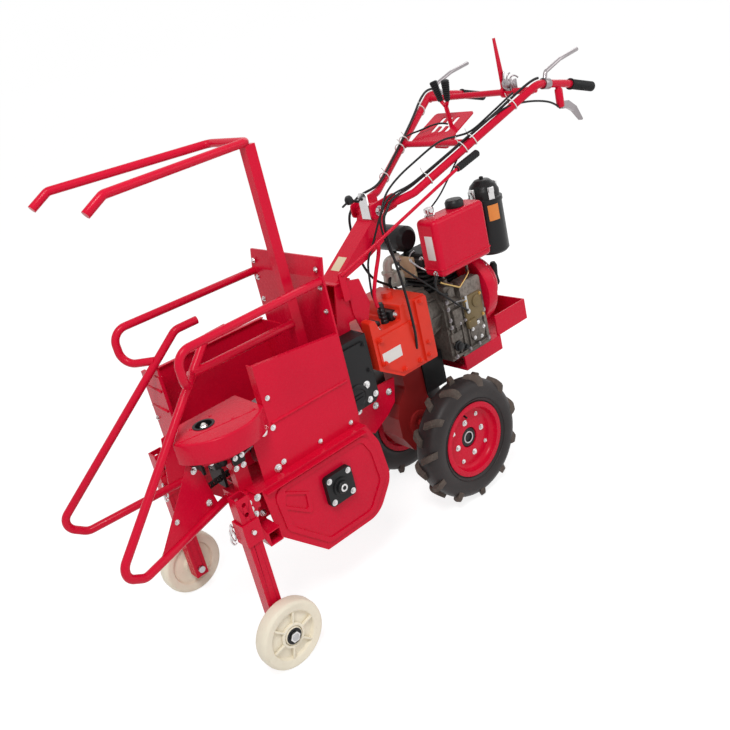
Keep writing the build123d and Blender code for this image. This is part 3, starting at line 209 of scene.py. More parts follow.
brass = surface("brass", (0.52, 0.36, 0.14), 0.34, (0.22, 0.14, 0.06), metallic=1.0, mottle=0.12)
FINISH = {
    "red_paint": red_paint, "brown_paint": brown_paint, "orange_paint": orange_paint,
    "black_paint": black_paint, "tyre_rubber": tyre_rubber, "nylon": nylon, "steel": steel, "zinc": zinc,
    "cast_alloy": cast_alloy, "cast_iron": cast_iron, "grip_rubber": grip_rubber,
    "black_plastic": black_plastic,
}

# Finish and softened edges for the CAD nodes, wider on the castings
SMOOTH_DEG = 38
WELD_GAP = 0.00002
NODE_LOOK = {"hand_levers": lever_metal}
NO_BEVEL = ("drive_tyre_left", "drive_tyre_right", "cables_handle", "cables_frame")
SOFT_EDGE = {"gearbox": 2.2, "walking_case": 2.6, "crankcase": 1.8, "column": 1.4}
for part in frame["record"]["subparts"]:
    thing = nodes[part["node"]]
    thing.data.materials.clear()
    look = NODE_LOOK.get(part["node"], FINISH[part["material_slot"]])
    thing.data.materials.append(look)
    if part["node"] in NO_BEVEL:
        continue
    weld = thing.modifiers.new("weld", "WELD")
    weld.merge_threshold = WELD_GAP
    edge = thing.modifiers.new("soft_edge", "BEVEL")
    edge.width = SOFT_EDGE.get(part["node"], 1.0) * MM
    edge.segments = 2
    edge.limit_method = "ANGLE"
    edge.angle_limit = math.radians(SMOOTH_DEG)
    edge.harden_normals = True


# Mesh helpers
def finish_piece(name, bm, body, material, smooth=SMOOTH_DEG):
    mesh = bpy.data.meshes.new(name)
    bmesh.ops.recalc_face_normals(bm, faces=bm.faces)
    bm.to_mesh(mesh)
    bm.free()
    mesh.shade_smooth()
    mesh.set_sharp_from_angle(angle=math.radians(smooth))
    piece = bpy.data.objects.new(name, mesh)
    bpy.context.collection.objects.link(piece)
    piece.data.materials.append(material)
    if body:
        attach(piece, body)
    return piece


def facing(centre, normal, spin=0.0):
    z = Vector(normal).normalized()
    side = Vector((0, 0, 1)) if abs(z.z) < 0.9 else Vector((1, 0, 0))
    x = side.cross(z).normalized()
    y = z.cross(x)
    turn = Matrix((x, y, z)).transposed().to_4x4()
    turn.translation = centre
    return turn @ Matrix.Rotation(spin, 4, "Z")


def lathe(bm, matrix, profile, count=32):
    rings = []
    for r, h in profile:
        if r < 1e-6:
            rings.append([bm.verts.new(matrix @ Vector((0, 0, h * MM)))])
            continue
        ring = []
        for i in range(count):
            a = 2 * math.pi * i / count
            ring.append(bm.verts.new(matrix @ Vector((r * MM * math.cos(a), r * MM * math.sin(a), h * MM))))
        rings.append(ring)
    for low, high in zip(rings, rings[1:]):
        for i in range(count):
            j = (i + 1) % count
            if len(low) == 1:
                bm.faces.new((low[0], high[i], high[j]))
            elif len(high) == 1:
                bm.faces.new((low[i], low[j], high[0]))
            else:
                bm.faces.new((low[i], low[j], high[j], high[i]))


def block(bm, matrix, size, soft=1.5):
    made = bmesh.ops.create_cube(bm, size=1.0)
    scale = Matrix.Diagonal((size[0] * MM, size[1] * MM, size[2] * MM, 1))
    bmesh.ops.transform(bm, matrix=matrix @ scale, verts=made["verts"])
    edges = list({e for v in made["verts"] for e in v.link_edges})
    bmesh.ops.bevel(bm, geom=edges, offset=soft * MM, segments=2, profile=0.5, affect="EDGES")


def slab(bm, centre, size, soft=1.5):
    block(bm, Matrix.Translation(at(*centre)), size, soft)


def plate(bm, outline, matrix, thick):
    low = [bm.verts.new(matrix @ Vector((u * MM, v * MM, 0))) for u, v in outline]
    high = [bm.verts.new(matrix @ Vector((u * MM, v * MM, thick * MM))) for u, v in outline]
    bm.faces.new(list(reversed(low)))
    bm.faces.new(high)
    for i in range(len(outline)):
        j = (i + 1) % len(outline)
        bm.faces.new((low[i], low[j], high[j], high[i]))


WASHER_SHARE = 0.80
HEX_SHARE = 0.577
HEAD_SHARE = 0.42
STUD_SHARE = 0.26
EDGE_SHARE = 0.06
WASHER_T = 1.4
BOLT_TURN = 0.7


def bolt(bm, centre, normal, flat, spin=0.0):
    matrix = facing(centre, normal, spin)
    washer = flat * WASHER_SHARE
    lathe(bm, matrix, [(0, 0), (washer, 0), (washer, WASHER_T), (0, WASHER_T)], 20)
    r = flat * HEX_SHARE
    edge_h = flat * EDGE_SHARE
    high = WASHER_T + flat * HEAD_SHARE
    lathe(bm, matrix, [(0, WASHER_T), (r, WASHER_T), (r, high - edge_h), (r * 0.86, high), (0, high)], 6)
    stud = flat * STUD_SHARE
    tip = high + flat * 0.2
    lathe(bm, matrix, [(stud, high), (stud, tip - edge_h), (flat * 0.18, tip), (0, tip)], 12)


def bolts(name, body, material, rows):
    bm = bmesh.new()
    for i, (point, normal, flat) in enumerate(rows):
        bolt(bm, at(*point), normal, flat, BOLT_TURN * i)
    return finish_piece(name, bm, body, material)


def ring_points(centre, radius, count, start=0.0, axis="y"):
    out = []
    for i in range(count):
        a = math.radians(start + 360.0 / count * i)
        u, v = radius * math.cos(a), radius * math.sin(a)
        x, y, z = centre
        out.append((x + u, y, z + v) if axis == "y" else (x, y + u, z + v))
    return out


def spline_points(points, closed=False, steps=10):
    data = bpy.data.curves.new("route", "CURVE")
    data.dimensions = "3D"
    data.resolution_u = steps
    line = data.splines.new("NURBS")
    line.points.add(len(points) - 1)
    for place, point in zip(line.points, points):
        place.co = (*at(*point), 1)
    line.order_u = 3
    line.use_endpoint_u = not closed
    line.use_cyclic_u = closed
    carrier = bpy.data.objects.new("route", data)
    mesh = bpy.data.meshes.new_from_object(carrier)
    rows = [v.co.copy() for v in mesh.vertices]
    bpy.data.meshes.remove(mesh)
    bpy.data.objects.remove(carrier)
    bpy.data.curves.remove(data)
    return rows


def tube(bm, rows, radius, count=10, closed=False):
    rings = []
    total = len(rows)
    side = None
    for i, p in enumerate(rows):
        before = rows[i - 1] if i or closed else rows[0]
        after = rows[(i + 1) % total] if i < total - 1 or closed else rows[-1]
        way = (after - before).normalized()
        if side is None:
            side = way.orthogonal().normalized()
        side = (side - way * side.dot(way)).normalized()
        other = way.cross(side)
        ring = []
        for k in range(count):
            a = 2 * math.pi * k / count
            ring.append(bm.verts.new(p + (side * math.cos(a) + other * math.sin(a)) * radius * MM))
        rings.append(ring)
    pairs = list(zip(rings, rings[1:]))
    if closed:
        pairs.append((rings[-1], rings[0]))
    for low, high in pairs:
        for k in range(count):
            m = (k + 1) % count
            bm.faces.new((low[k], low[m], high[m], high[k]))
    if not closed:
        bm.faces.new(list(reversed(rings[0])))
        bm.faces.new(rings[-1])


def wires(name, body, material, routes, radius):
    bm = bmesh.new()
    for points in routes:
        tube(bm, spline_points(points), radius)
    return finish_piece(name, bm, body, material)


# Drive tyres: a round case, chevron lugs that wrap over the shoulder and thin sidewall rings
tyre_low, tyre_high = corners("drive_tyre_left")
WHEEL_Y = (tyre_low[1] + tyre_high[1]) / 2
TYRE_HALF = (tyre_high[1] - tyre_low[1]) / 2
AXLE_Z = (axle_low[2] + axle_high[2]) / 2 / MM
SEAT_R = 108
SECTION_R = 156
SECTION_RISE = 36.5
LUGS = 11
LUG_SLANT = math.tan(math.radians(32))
LUG_MID = TYRE_HALF * 0.47
LUG_TOP = [(205, 2), (205, 18), (204.4, 28), (202, 35), (196, 40.5), (185, 43.6), (173, 44.6)]
LUG_FOOT = [(188, 2), (188, 18), (183, 28), (179, 34), (175, 37), (170, 40), (166, 41)]
LUG_SECTION = [(-12.5, 0.0), (-10.5, 0.86), (-8.5, 1.0), (8.5, 1.0), (10.5, 0.86), (12.5, 0.0)]


def tyre_profile():
    half = []
    for i in range(15):
        t = math.radians(-66 + 156 * i / 14)
        power = 0.62 if t > 0 else 0.35
        half.append((SECTION_R + SECTION_RISE * math.sin(t), TYRE_HALF * max(0.0, math.cos(t)) ** power))
    back = [(r, -h) for r, h in reversed(half[:-1])]
    foot = half[0][1]
    return [(SEAT_R, foot)] + half + back + [(SEAT_R, -foot), (SEAT_R, foot)]


def tyre_lug(bm, plane_y, side, turn):
    rings = []
    for (top_r, top_h), (foot_r, foot_h) in zip(LUG_TOP, LUG_FOOT):
        ring = []
        for across, share in LUG_SECTION:
            r = foot_r + (top_r - foot_r) * share
            h = foot_h + (top_h - foot_h) * share
            angle = turn - LUG_SLANT * (h - LUG_MID) / r + across / r
            place = at(r * math.sin(angle), plane_y + side * h, AXLE_Z + r * math.cos(angle))
            ring.append(bm.verts.new(place))
        rings.append(ring)
    for low, high in zip(rings, rings[1:]):
        for k in range(len(low) - 1):
            bm.faces.new((low[k], low[k + 1], high[k + 1], high[k]))
        bm.faces.new((low[-1], low[0], high[0], high[-1]))
    bm.faces.new(rings[0])
    bm.faces.new(list(reversed(rings[-1])))


for wheel, name in ((1, "left"), (-1, "right")):
    body = "drive_wheel_" + name
    out = (0, wheel, 0)
    plane_y = wheel * WHEEL_Y
    centre = facing(at(0, plane_y, AXLE_Z), out)
    bm = bmesh.new()
    lathe(bm, centre, tyre_profile(), 96)
    for r, h in ((133, TYRE_HALF - 1.6), (162, TYRE_HALF - 1.0)):
        ridge = [(r - 1.6, h - 1.6), (r - 0.5, h + 0.6), (r + 0.5, h + 0.6), (r + 1.6, h - 1.8)]
        lathe(bm, centre, ridge, 96)
    case = finish_piece("tyre_case_" + name, bm, body, tyre_rubber, 50)
    bm = bmesh.new()
    for side in (1, -1):
        for i in range(LUGS):
            step = 0.5 if side == wheel else 0.0
            tyre_lug(bm, plane_y, side, 2 * math.pi / LUGS * (i + step))
    lugs = finish_piece("tyre_lugs_" + name, bm, body, lug_rubber, 30)
    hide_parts("drive_tyre_" + name)

# Drive wheel discs: bolted centre plate, two rings of bolts, ring and cap in the hub's nose, tyre valve
DISC_SET = 6
PLATE_T = 7
NOSE_SET = 10
WHEEL_BOWL = [
    (33, -1), (33, 6), (34, PLATE_T), (84, PLATE_T), (90, 6), (96, 8), (101, 13), (104, 21),
    (105.5, 28), (109, 32.2), (117, 32.8), (120.6, 31.6), (120.6, 29), (106, 20), (103, -1), (33, -1)]
for side, name in ((1, "left"), (-1, "right")):
    body = "drive_wheel_" + name
    out = (0, side, 0)
    seat = side * (WHEEL_Y + DISC_SET)
    disc = seat + side * PLATE_T
    bm = bmesh.new()
    lathe(bm, facing(at(0, seat, AXLE_Z), out), WHEEL_BOWL, 72)
    finish_piece("wheel_plate_" + name, bm, body, red_paint)
    inner = [(p, out, 12) for p in ring_points((0, disc, AXLE_Z), 57, 4, -9)]
    bolts("wheel_bolts_" + name, body, zinc, inner)
    outer = [(p, out, 9) for p in ring_points((0, disc, AXLE_Z), 78, 4, 35)]
    bolts("rim_bolts_" + name, body, zinc, outer)
    bm = bmesh.new()
    nose = facing(at(0, side * (WHEEL_Y + NOSE_SET), AXLE_Z), out)
    lathe(bm, nose, [(15.6, -8), (15.6, 0.6), (17, 1.4), (19, 1.4), (20, 0.6), (20, -0.5), (15.6, -0.5)], 36)
    finish_piece("hub_ring_" + name, bm, body, steel)
    bm = bmesh.new()
    lathe(bm, nose, [(15, -8), (15, -5), (12, -4), (10, -5), (0, -5)], 32)
    finish_piece("axle_cap_" + name, bm, body, black_plastic)
    bm = bmesh.new()
    stem = facing(at(9, disc, AXLE_Z + 86), (0.1, side, -0.35))
    stem_line = [(0, -1), (7, -1), (6.5, 2), (4, 4), (3, 6), (3, 14), (3.6, 14), (3.6, 19), (2, 20), (0, 20)]
    lathe(bm, stem, stem_line, 14)
    finish_piece("tyre_valve_" + name, bm, body, black_plastic)

# Front wheels: dark bearing in the hub, washer and nut on the pin
front_low, front_high = corners("front_wheel_left")
FRONT_X = (front_low[0] + front_high[0]) / 2
FRONT_Z = (front_low[2] + front_high[2]) / 2
for side, name in ((1, "left"), (-1, "right")):
    face = side * front_high[1]
    bm = bmesh.new()
    seal = facing(at(FRONT_X, face, FRONT_Z), (0, side, 0))
    seal_line = [(12.5, 0), (22, 0), (22, 0.8), (19, 1.6), (17, 0.9), (14, 0.9), (12.5, 1.4), (12.5, 0)]
    lathe(bm, seal, seal_line, 32)
    finish_piece("front_bearing_" + name, bm, "support_wheel_" + name, black_plastic)
    bm = bmesh.new()
    nut = facing(at(FRONT_X, face + side * 2.2, FRONT_Z), (0, side, 0))
    lathe(bm, nut, [(10.1, 0), (12.4, 0), (12.4, 1), (10.1, 1), (10.1, 0)], 24)
    lathe(bm, nut, [(10.1, 1), (15, 1), (15, 4.6), (13.4, 5.4), (10.1, 5.4), (10.1, 1)], 6)
    finish_piece("front_nut_" + name, bm, BODY, zinc)

# Moulded ribs on the front wheels' faces
WEB_FACE = 5.0
WEB_R = 46
RIBS = 6
RIB_START = 15
for side, name in ((1, "left"), (-1, "right")):
    bm = bmesh.new()
    face = side * (front_high[1] - WEB_FACE)
    matrix = facing(at(FRONT_X, face, FRONT_Z), (0, side, 0))
    for i in range(RIBS):
        turn = Matrix.Rotation(math.radians(360 / RIBS * i + RIB_START), 4, "Z")
        spoke = matrix @ turn @ Matrix.Translation((WEB_R * MM, 0, 0))
        block(bm, spoke, (38, 5, 8), 1.6)
    lathe(bm, matrix, [(27, -4), (27, 3.4), (29, 4.2), (32, 4.2), (34, 3), (34, -4)], 48)
    finish_piece("front_ribs_" + name, bm, "support_wheel_" + name, nylon)

# Fasteners of the picking head: side panel, bin, rear plate and the left divider's wing
PANEL_FACE = 173
WING_NEAR = (718, 78)
WING_FAR = (1115, 178)
wing_slope = (WING_FAR[1] - WING_NEAR[1]) / (WING_FAR[0] - WING_NEAR[0])
wing_out = Vector((-wing_slope, 1, 0)).normalized()


def on_wing(x, z):
    y = WING_NEAR[1] + wing_slope * (x - WING_NEAR[0])
    return (x + wing_out.x * 1.5, y + wing_out.y * 1.5, z)


PANEL_PLACES = (
    (647, 671, 9), (655, 589, 10), (653, 486, 10), (684, 590, 13), (674, 478, 14), (420, 480, 9),
    (530, 480, 9))
WING_PLACES = ((872, 566, 12), (962, 478, 9), (858, 462, 13))
panel_rows = [((x, PANEL_FACE, z), LEFT, flat) for x, z, flat in PANEL_PLACES]
panel_rows += [((391, y, z), FORWARD, 10) for y in (150, -150) for z in (800, 868, 920)]
panel_rows += [((797, y, z), FORWARD, 9) for y in (-190, -106) for z in (490, 600)]
panel_rows += [(on_wing(x, z), wing_out, flat) for x, z, flat in WING_PLACES]
bolts("panel_bolts", BODY, zinc, panel_rows)

# Chopper bearings: a bolt at each corner and a black cap with a bright ring on each shaft end
bearing_low, bearing_high = corners("chopper_bearings")
ROTOR_X = (bearing_low[0] + bearing_high[0]) / 2
ROTOR_Z = (bearing_low[2] + bearing_high[2]) / 2
BLOCK_FACE = 218
SHAFT_END = 230
bearing_rows = []
bm = bmesh.new()
for side in (1, -1):
    for u in (33, -33):
        for v in (33, -33):
            bearing_rows.append(((ROTOR_X + u, side * BLOCK_FACE, ROTOR_Z + v), (0, side, 0), 11))
    cap = facing(at(ROTOR_X, side * (SHAFT_END - 7), ROTOR_Z), (0, side, 0))
    lathe(bm, cap, [(16.2, 0.4), (18, 0.4), (18, 6), (16, 8.2), (12, 8.6), (0, 8.6)], 36)
finish_piece("shaft_caps", bm, "chopper", black_paint)
bm = bmesh.new()
for side in (1, -1):
    ring = facing(at(ROTOR_X, side * (SHAFT_END + 1.4), ROTOR_Z), (0, side, 0))
    lathe(bm, ring, [(6, 0), (6, 1.6), (7.5, 2.4), (10, 2.4), (11, 1.4), (11, 0), (6, 0)], 30)
finish_piece("shaft_rings", bm, "chopper", zinc)
bolts("bearing_bolts", BODY, zinc, bearing_rows)

# Leg clamps: a bolted bracket on each rail end, a hanger plate to the chopper and the pin's clip in front
RAIL_Y = 186
HANGER_Y = 171
CLAMP_FACE = 201.5
bm = bmesh.new()
clamp_rows = []
ring_routes = []
for side in (1, -1):
    slab(bm, (783, side * RAIL_Y, 442), (38, 31, 34), 2.5)
    slab(bm, (788, side * RAIL_Y, 417), (26, 31, 20), 2.5)
    slab(bm, (752, side * HANGER_Y, 405), (92, 5, 70), 1.5)
    for x, z in ((798, 452), (770, 454), (797, 433), (788, 414)):
        clamp_rows.append(((x - 2, side * CLAMP_FACE, z), (0, side, 0), 12))
    clamp_rows.append(((752, side * (HANGER_Y + 2.5), 388), (0, side, 0), 12))
    y = side * 183
    ring_routes.append([(824, side * RAIL_Y, 400), (836, y, 402), (852, y, 408), (860, y, 398), (858, y, 378),
                        (852, y, 366), (846, y, 376), (850, y, 396), (856, y, 408), (850, y, 416)])
    ring_routes.append([(851, y + 4 * side, 412), (856, y, 392), (862, y - 4 * side, 372), (858, y, 356),
                        (850, y, 362)])
finish_piece("leg_clamps", bm, BODY, red_paint)
bolts("clamp_bolts", BODY, zinc, clamp_rows)
wires("leg_clips", BODY, zinc, ring_routes, 2.6)

# Gathering cover: crease across its top, rivets, a black ring round the shaft with a black sleeve and floor
# down the shaft's hole as painted shade, nut and a small white cap
COVER_Z = 660
SHAFT = (805, 110)
bm = bmesh.new()
tube(bm, [at(893, 134, COVER_Z - 0.4), at(684, 176, COVER_Z - 0.4)], 1.5, 8)
for x, y in ((838, 100), (748, 160), (770, 84), (690, 168)):
    lathe(bm, facing(at(x, y, COVER_Z), UP), [(0, 2), (2.5, 1.8), (4.5, 0.6), (5, -0.5)], 14)
finish_piece("cover_crease", bm, BODY, red_paint)
bm = bmesh.new()
top = facing(at(*SHAFT, COVER_Z), UP)
# Black ring on the cover's top, then a black sleeve and floor down the hole: painted shade inside the hole
ring_and_shade_sleeve = [
    (12, -22), (23.6, -22), (23.6, 0.2), (29, 0.2), (29, 1.4), (26, 2), (22, 1.6), (22, -20), (12, -20)]
lathe(bm, top, ring_and_shade_sleeve, 40)
finish_piece("cover_ring_and_shade_sleeve", bm, BODY, black_plastic)
bm = bmesh.new()
nut = facing(at(*SHAFT, COVER_Z - 6), UP)
lathe(bm, nut, [(0, 0), (10, 0), (10, 3), (8, 5), (0, 5)], 6)
finish_piece("shaft_nut", bm, "gathering_wheel", zinc)
bm = bmesh.new()
cap = facing(at(*SHAFT, COVER_Z - 1), UP)
lathe(bm, cap, [(6, 0), (6, 3), (4, 5), (2.5, 5), (2, 4), (0, 4)], 24)
finish_piece("shaft_cap", bm, "gathering_wheel", tie_plastic)

# Below the cover: black bearing block, dark bracket, bolts and the gathering chain
bm = bmesh.new()
slab(bm, (792, 110, 553), (52, 28, 36), 4)
lathe(bm, facing(at(792, 124, 553), LEFT), [(0, 0), (15, 0), (15, 6), (11, 8), (0, 8)], 24)
slab(bm, (766, 158, 556), (34, 12, 30), 2)
finish_piece("gather_block", bm, BODY, black_paint)
gather_rows = [((x, 152, z), LEFT, 10) for x, z in ((754, 528), (776, 528))]
gather_rows += [((x, 164, z), LEFT, 9) for x, z in ((756, 562), (776, 562))]
gather_rows += [((812, 124, 564), LEFT, 9), ((830, 140, 572), (0, 0, -1), 10)]
bolts("gather_bolts", BODY, zinc, gather_rows)
bm = bmesh.new()
CHAIN_FROM = Vector((762, 84, 492))
CHAIN_TO = Vector((846, 84, 484))
CHAIN_LINKS = 7
chain_way = (CHAIN_TO - CHAIN_FROM) / CHAIN_LINKS
for i in range(CHAIN_LINKS):
    place = CHAIN_FROM + chain_way * (i + 0.5)
    lathe(bm, facing(at(*(place - chain_way / 2)) - Vector((0, 0, 0.008)), UP), [
        (0, 0), (3, 0), (3, 3), (5, 3), (5, 13), (3, 13), (3, 16), (0, 16)], 12)
    for lift in (-6, 6):
        slab(bm, (place.x, place.y, place.z + lift), (chain_way.length + 5, 9, 2), 0.8)
finish_piece("gather_chain", bm, BODY, cast_iron)

# Drive case, gearbox, walking case and hitch fasteners
CASE_FACE = 110
GEAR_FACE = 108
CHEEK_FACE = 51
case_rows = [((x, CASE_FACE, z), LEFT, 10) for x, z in ((272, 642), (366, 642), (272, 560), (366, 560))]
bolts("drive_case_bolts", BODY, black_paint, case_rows)
bm = bmesh.new()
lathe(bm, facing(at(331, 109.6, 500), LEFT), [(38, 0), (38, 3), (34, 6), (26, 6), (24, 4), (0, 4)], 40)
for lift in (-8, 4):
    slab(bm, (330, 115, 502 + lift), (34, 4, 5), 1.5)
finish_piece("drive_case_boss", bm, BODY, black_paint)
NUT_PLACES = ((293, 522, 15), (292, 474, 12), (268, 482, 12))
lower_rows = [((x, CASE_FACE, z), LEFT, flat) for x, z, flat in NUT_PLACES]
bolts("drive_case_nuts", BODY, zinc, lower_rows)
gear_rows = [((x, GEAR_FACE, z), LEFT, 11) for x, z in (
    (70, 496), (136, 498), (204, 546), (204, 620), (70, 620), (28, 674), (27, 540), (33, 500))]
bolts("gearbox_bolts", BODY, orange_paint, gear_rows)
HITCH_PLACES = ((176, 428), (236, 410), (300, 424), (346, 436))
hitch_rows = [((x, s * CHEEK_FACE, z), (0, s, 0), 14) for s in (1, -1) for x, z in HITCH_PLACES]
hitch_rows += [((x, 60, 476), LEFT, 9) for x in (30, 110)]
bolts("hitch_bolts", BODY, zinc, hitch_rows)
bm = bmesh.new()
boss = facing(at(80, 52, 270), LEFT)
lathe(bm, boss, [(40, -2), (40, 0), (34, 2), (22, 2), (20, 0.6), (0, 0.6)], 40)
lathe(bm, boss, [(0, 0.6), (13, 0.6), (13, 8), (11, 10), (0, 10)], 6)
finish_piece("case_cover", bm, BODY, brown_paint)
bm = bmesh.new()
lathe(bm, facing(at(80, 62, 270), LEFT), [(0, 0), (7, 0), (7, 2), (5, 3.4), (0, 3.4)], 6)
finish_piece("case_plug", bm, BODY, brass)

# Gear linkage in the notch: the bent shift rod, its rubber boot, the black yoke and a chrome nut
wires("shift_rod", BODY, red_paint, [
    [(92, 40, 890), (90, 56, 878), (104, 60, 846), (126, 60, 806), (148, 60, 758), (156, 60, 728),
     (150, 60, 700)]], 6)
bm = bmesh.new()
boot_way = Vector((138, 60, 709)) - Vector((134, 60, 645))
profile = [(0, 0), (13, 0)]
for i in range(5):
    profile += [(12 - i * 0.5, 3 + i * 12), (12.5 - i * 0.5, 8 + i * 12), (10.5 - i * 0.5, 11 + i * 12)]
profile += [(8, 64), (0, 64)]
lathe(bm, facing(at(136, 60, 645), boot_way), profile, 20)
slab(bm, (112, 48, 660), (26, 60, 30), 3)
slab(bm, (168, 44, 652), (22, 40, 14), 3)
finish_piece("gear_linkage", bm, BODY, black_plastic)
bolts("linkage_nut", BODY, zinc, [((106, 78, 662), LEFT, 13), ((184, 78, 644), UP, 13)])

# Column top: chrome latch plate, black clamp lever and a bare label on the slanting face
bm = bmesh.new()
latch = facing(at(79, 17, 948), FORWARD)
latch_line = [(-19, 0), (19, 0), (19, 70), (13, 78), (-13, 78), (-19, 70)]
plate(bm, latch_line, latch, 4)
finish_piece("column_latch", bm, BODY, zinc)
bm = bmesh.new()
lathe(bm, facing(at(83, 14, 1008), FORWARD), [(0, 0), (4, 0), (4, 2), (0, 2)], 16)
tube(bm, spline_points([(80, -6, 1000), (96, -8, 1006), (112, -6, 1016), (120, -2, 1018)]), 4.5)
knob = facing(at(114, -4, 1006), (0.25, 0.1, 1))
lathe(bm, knob, [(0, 0), (11, 0), (13, 6), (12, 16), (8, 22), (0, 23)], 20)
tube(bm, spline_points([(118, -2, 1014), (132, 0, 1010), (148, 2, 1005)]), 3.2)
finish_piece("column_lever", bm, BODY, black_plastic)
COLUMN_LOW = Vector((258, 0, 817))
COLUMN_HIGH = Vector((81, 0, 941))
slant_way = (COLUMN_HIGH - COLUMN_LOW).normalized()
slant_out = Vector((slant_way.z, 0, -slant_way.x))
bm = bmesh.new()
label = facing(at(*(COLUMN_LOW + slant_way * 62)), slant_out)
plate(bm, [(-19, -24), (19, -24), (19, 24), (-19, 24)], label, 0.7)
finish_piece("column_label", bm, BODY, label_cream)

# Engine fasteners: round cover, recoil, head and governor
engine_rows = [(p, LEFT, 8) for p in ring_points((-196, 103, 482), 27, 5, 30)]
engine_rows += [(p, (-1, 0, 0), 9) for p in ring_points((-312, 0, 590), 98, 4, 45, "x")]
engine_rows += [((x, y, 760), UP, 11) for x in (-214, -86) for y in (-81, 25)]
engine_rows += [((-68, y, z), FORWARD, 8) for y in (-54, -2) for z in (708, 760)]
bolts("engine_bolts", BODY, zinc, engine_rows)

# Ribs, flange and studs on the crankcase's left side
bm = bmesh.new()
for x in (-236, -158, -134, -110, -86):
    slab(bm, (x, 97, 486), (7, 10, 104), 2)
slab(bm, (-160, 97, 538), (176, 12, 9), 2)
slab(bm, (-110, 98, 606), (62, 10, 8), 2)
slab(bm, (-84, 98, 584), (9, 12, 92), 2.5)
slab(bm, (-160, 97, 436), (176, 14, 10), 2)
finish_piece("crankcase_ribs", bm, BODY, cast_alloy)
CRANK_FACE = 103
stud_rows = [((x, CRANK_FACE, z), LEFT, 9) for x, z in (
    (-84, 624), (-84, 600), (-84, 562), (-84, 538), (-122, 538), (-148, 538), (-236, 538), (-120, 606),
    (-236, 437), (-190, 437), (-146, 437), (-84, 437))]
studs = bolts("crankcase_studs", BODY, lever_metal, stud_rows)

# Cylinder front plate and the olive governor cover with its lever and spring
bm = bmesh.new()
block(bm, Matrix.Translation(at(-72, -28, 734)), (8, 68, 72), 3)
lathe(bm, facing(at(-68, -24, 716), FORWARD), [(0, 0), (9, 0), (9, 4), (6, 6), (0, 6)], 20)
finish_piece("cylinder_plate", bm, BODY, tan_alloy)
bm = bmesh.new()
slab(bm, (-190, 104, 566), (84, 12, 92), 6)
slab(bm, (-168, 108, 520), (40, 16, 30), 5)
lathe(bm, facing(at(-204, 110, 584), LEFT), [(0, 0), (20, 0), (20, 4), (14, 7), (6, 7), (0, 7)], 28)
finish_piece("governor_cover", bm, BODY, olive_cast)
GOVERNOR_FACE = 110
cover_rows = [((x, GOVERNOR_FACE, z), LEFT, 7) for x in (-224, -156) for z in (530, 602)]
bolts("governor_bolts", BODY, brass, cover_rows)
bm = bmesh.new()
slab(bm, (-158, 112, 588), (10, 4, 60), 1.2)
lathe(bm, facing(at(-158, 112, 566), LEFT), [(0, 0), (8, 0), (8, 5), (5, 7), (0, 7)], 6)
turns = []
for i in range(56):
    a = 2 * math.pi * i / 7
    turns.append((-156 + i * 0.9, 114 + 3.2 * math.cos(a), 606 + 3.2 * math.sin(a) + i * 0.2))
tube(bm, spline_points(turns, steps=2), 0.8, 6)
finish_piece("governor_lever", bm, BODY, steel)

# Injection pump, pipes, hose and the cap of the oil filler
bm = bmesh.new()
slab(bm, (-104, 84, 652), (46, 36, 44), 4)
union = facing(at(-104, 88, 672), UP)
lathe(bm, union, [(0, 0), (13, 0), (13, 8), (9, 10), (9, 20), (5, 22), (5, 28), (0, 28)], 20)
lathe(bm, facing(at(-104, 102, 650), LEFT), [(0, 0), (13, 0), (13, 5), (8, 8), (0, 8)], 20)
slab(bm, (-118, 100, 560), (40, 14, 60), 4)
slab(bm, (-100, 98, 500), (50, 12, 30), 4)
finish_piece("injection_pump", bm, BODY, cast_alloy)
wires("return_pipe", BODY, brass, [
    [(-76, 102, 694), (-84, 104, 688), (-112, 106, 672), (-138, 108, 656), (-146, 108, 652), (-152, 108, 656),
     (-172, 108, 668), (-194, 106, 680), (-202, 100, 684)]], 3)
wires("injector_pipe", BODY, steel, [
    [(-104, 88, 698), (-100, 86, 712), (-84, 70, 722), (-66, 46, 736), (-62, 20, 750), (-66, -10, 764),
     (-90, -24, 776), (-110, -28, 774)]], 3)
wires("fuel_hose", BODY, black_plastic, [
    [(-62, 112, 726), (-48, 114, 720), (-42, 112, 700), (-50, 108, 676), (-70, 106, 656),
     (-92, 104, 650)]], 4.5)
bm = bmesh.new()
filler = facing(at(-98, 98, 469), LEFT)
lathe(bm, filler, [(0, 0), (17, 0), (17, 8), (13, 10), (13, 18), (10, 20), (0, 20)], 18)
lathe(bm, facing(at(-128, 98, 454), LEFT), [(0, 0), (10, 0), (10, 6), (7, 8), (7, 16), (0, 17)], 14)
lathe(bm, facing(at(-364, 70, 937), UP), [(0, -1), (7, -1), (7, 4), (4, 6), (0, 6)], 12)
finish_piece("plugs", bm, BODY, black_plastic)
bm = bmesh.new()
flange = facing(at(-30, -80, 692), UP)
lathe(bm, flange, [(0, -8), (26, -8), (26, 2), (20, 4), (18, 30), (22, 32), (22, 40), (0, 40)], 24)
tube(bm, spline_points([(-30, -80, 726), (-30, -80, 752), (-46, -78, 766), (-78, -70, 762)]), 15, 16)
slab(bm, (-52, -70, 700), (36, 40, 46), 5)
finish_piece("intake_elbow", bm, BODY, pale_alloy)
wires("breather_hose", BODY, black_plastic, [
    [(-40, -74, 716), (-22, -66, 716), (-10, -62, 700), (-14, -60, 676), (-30, -60, 662),
     (-50, -60, 660)]], 5)

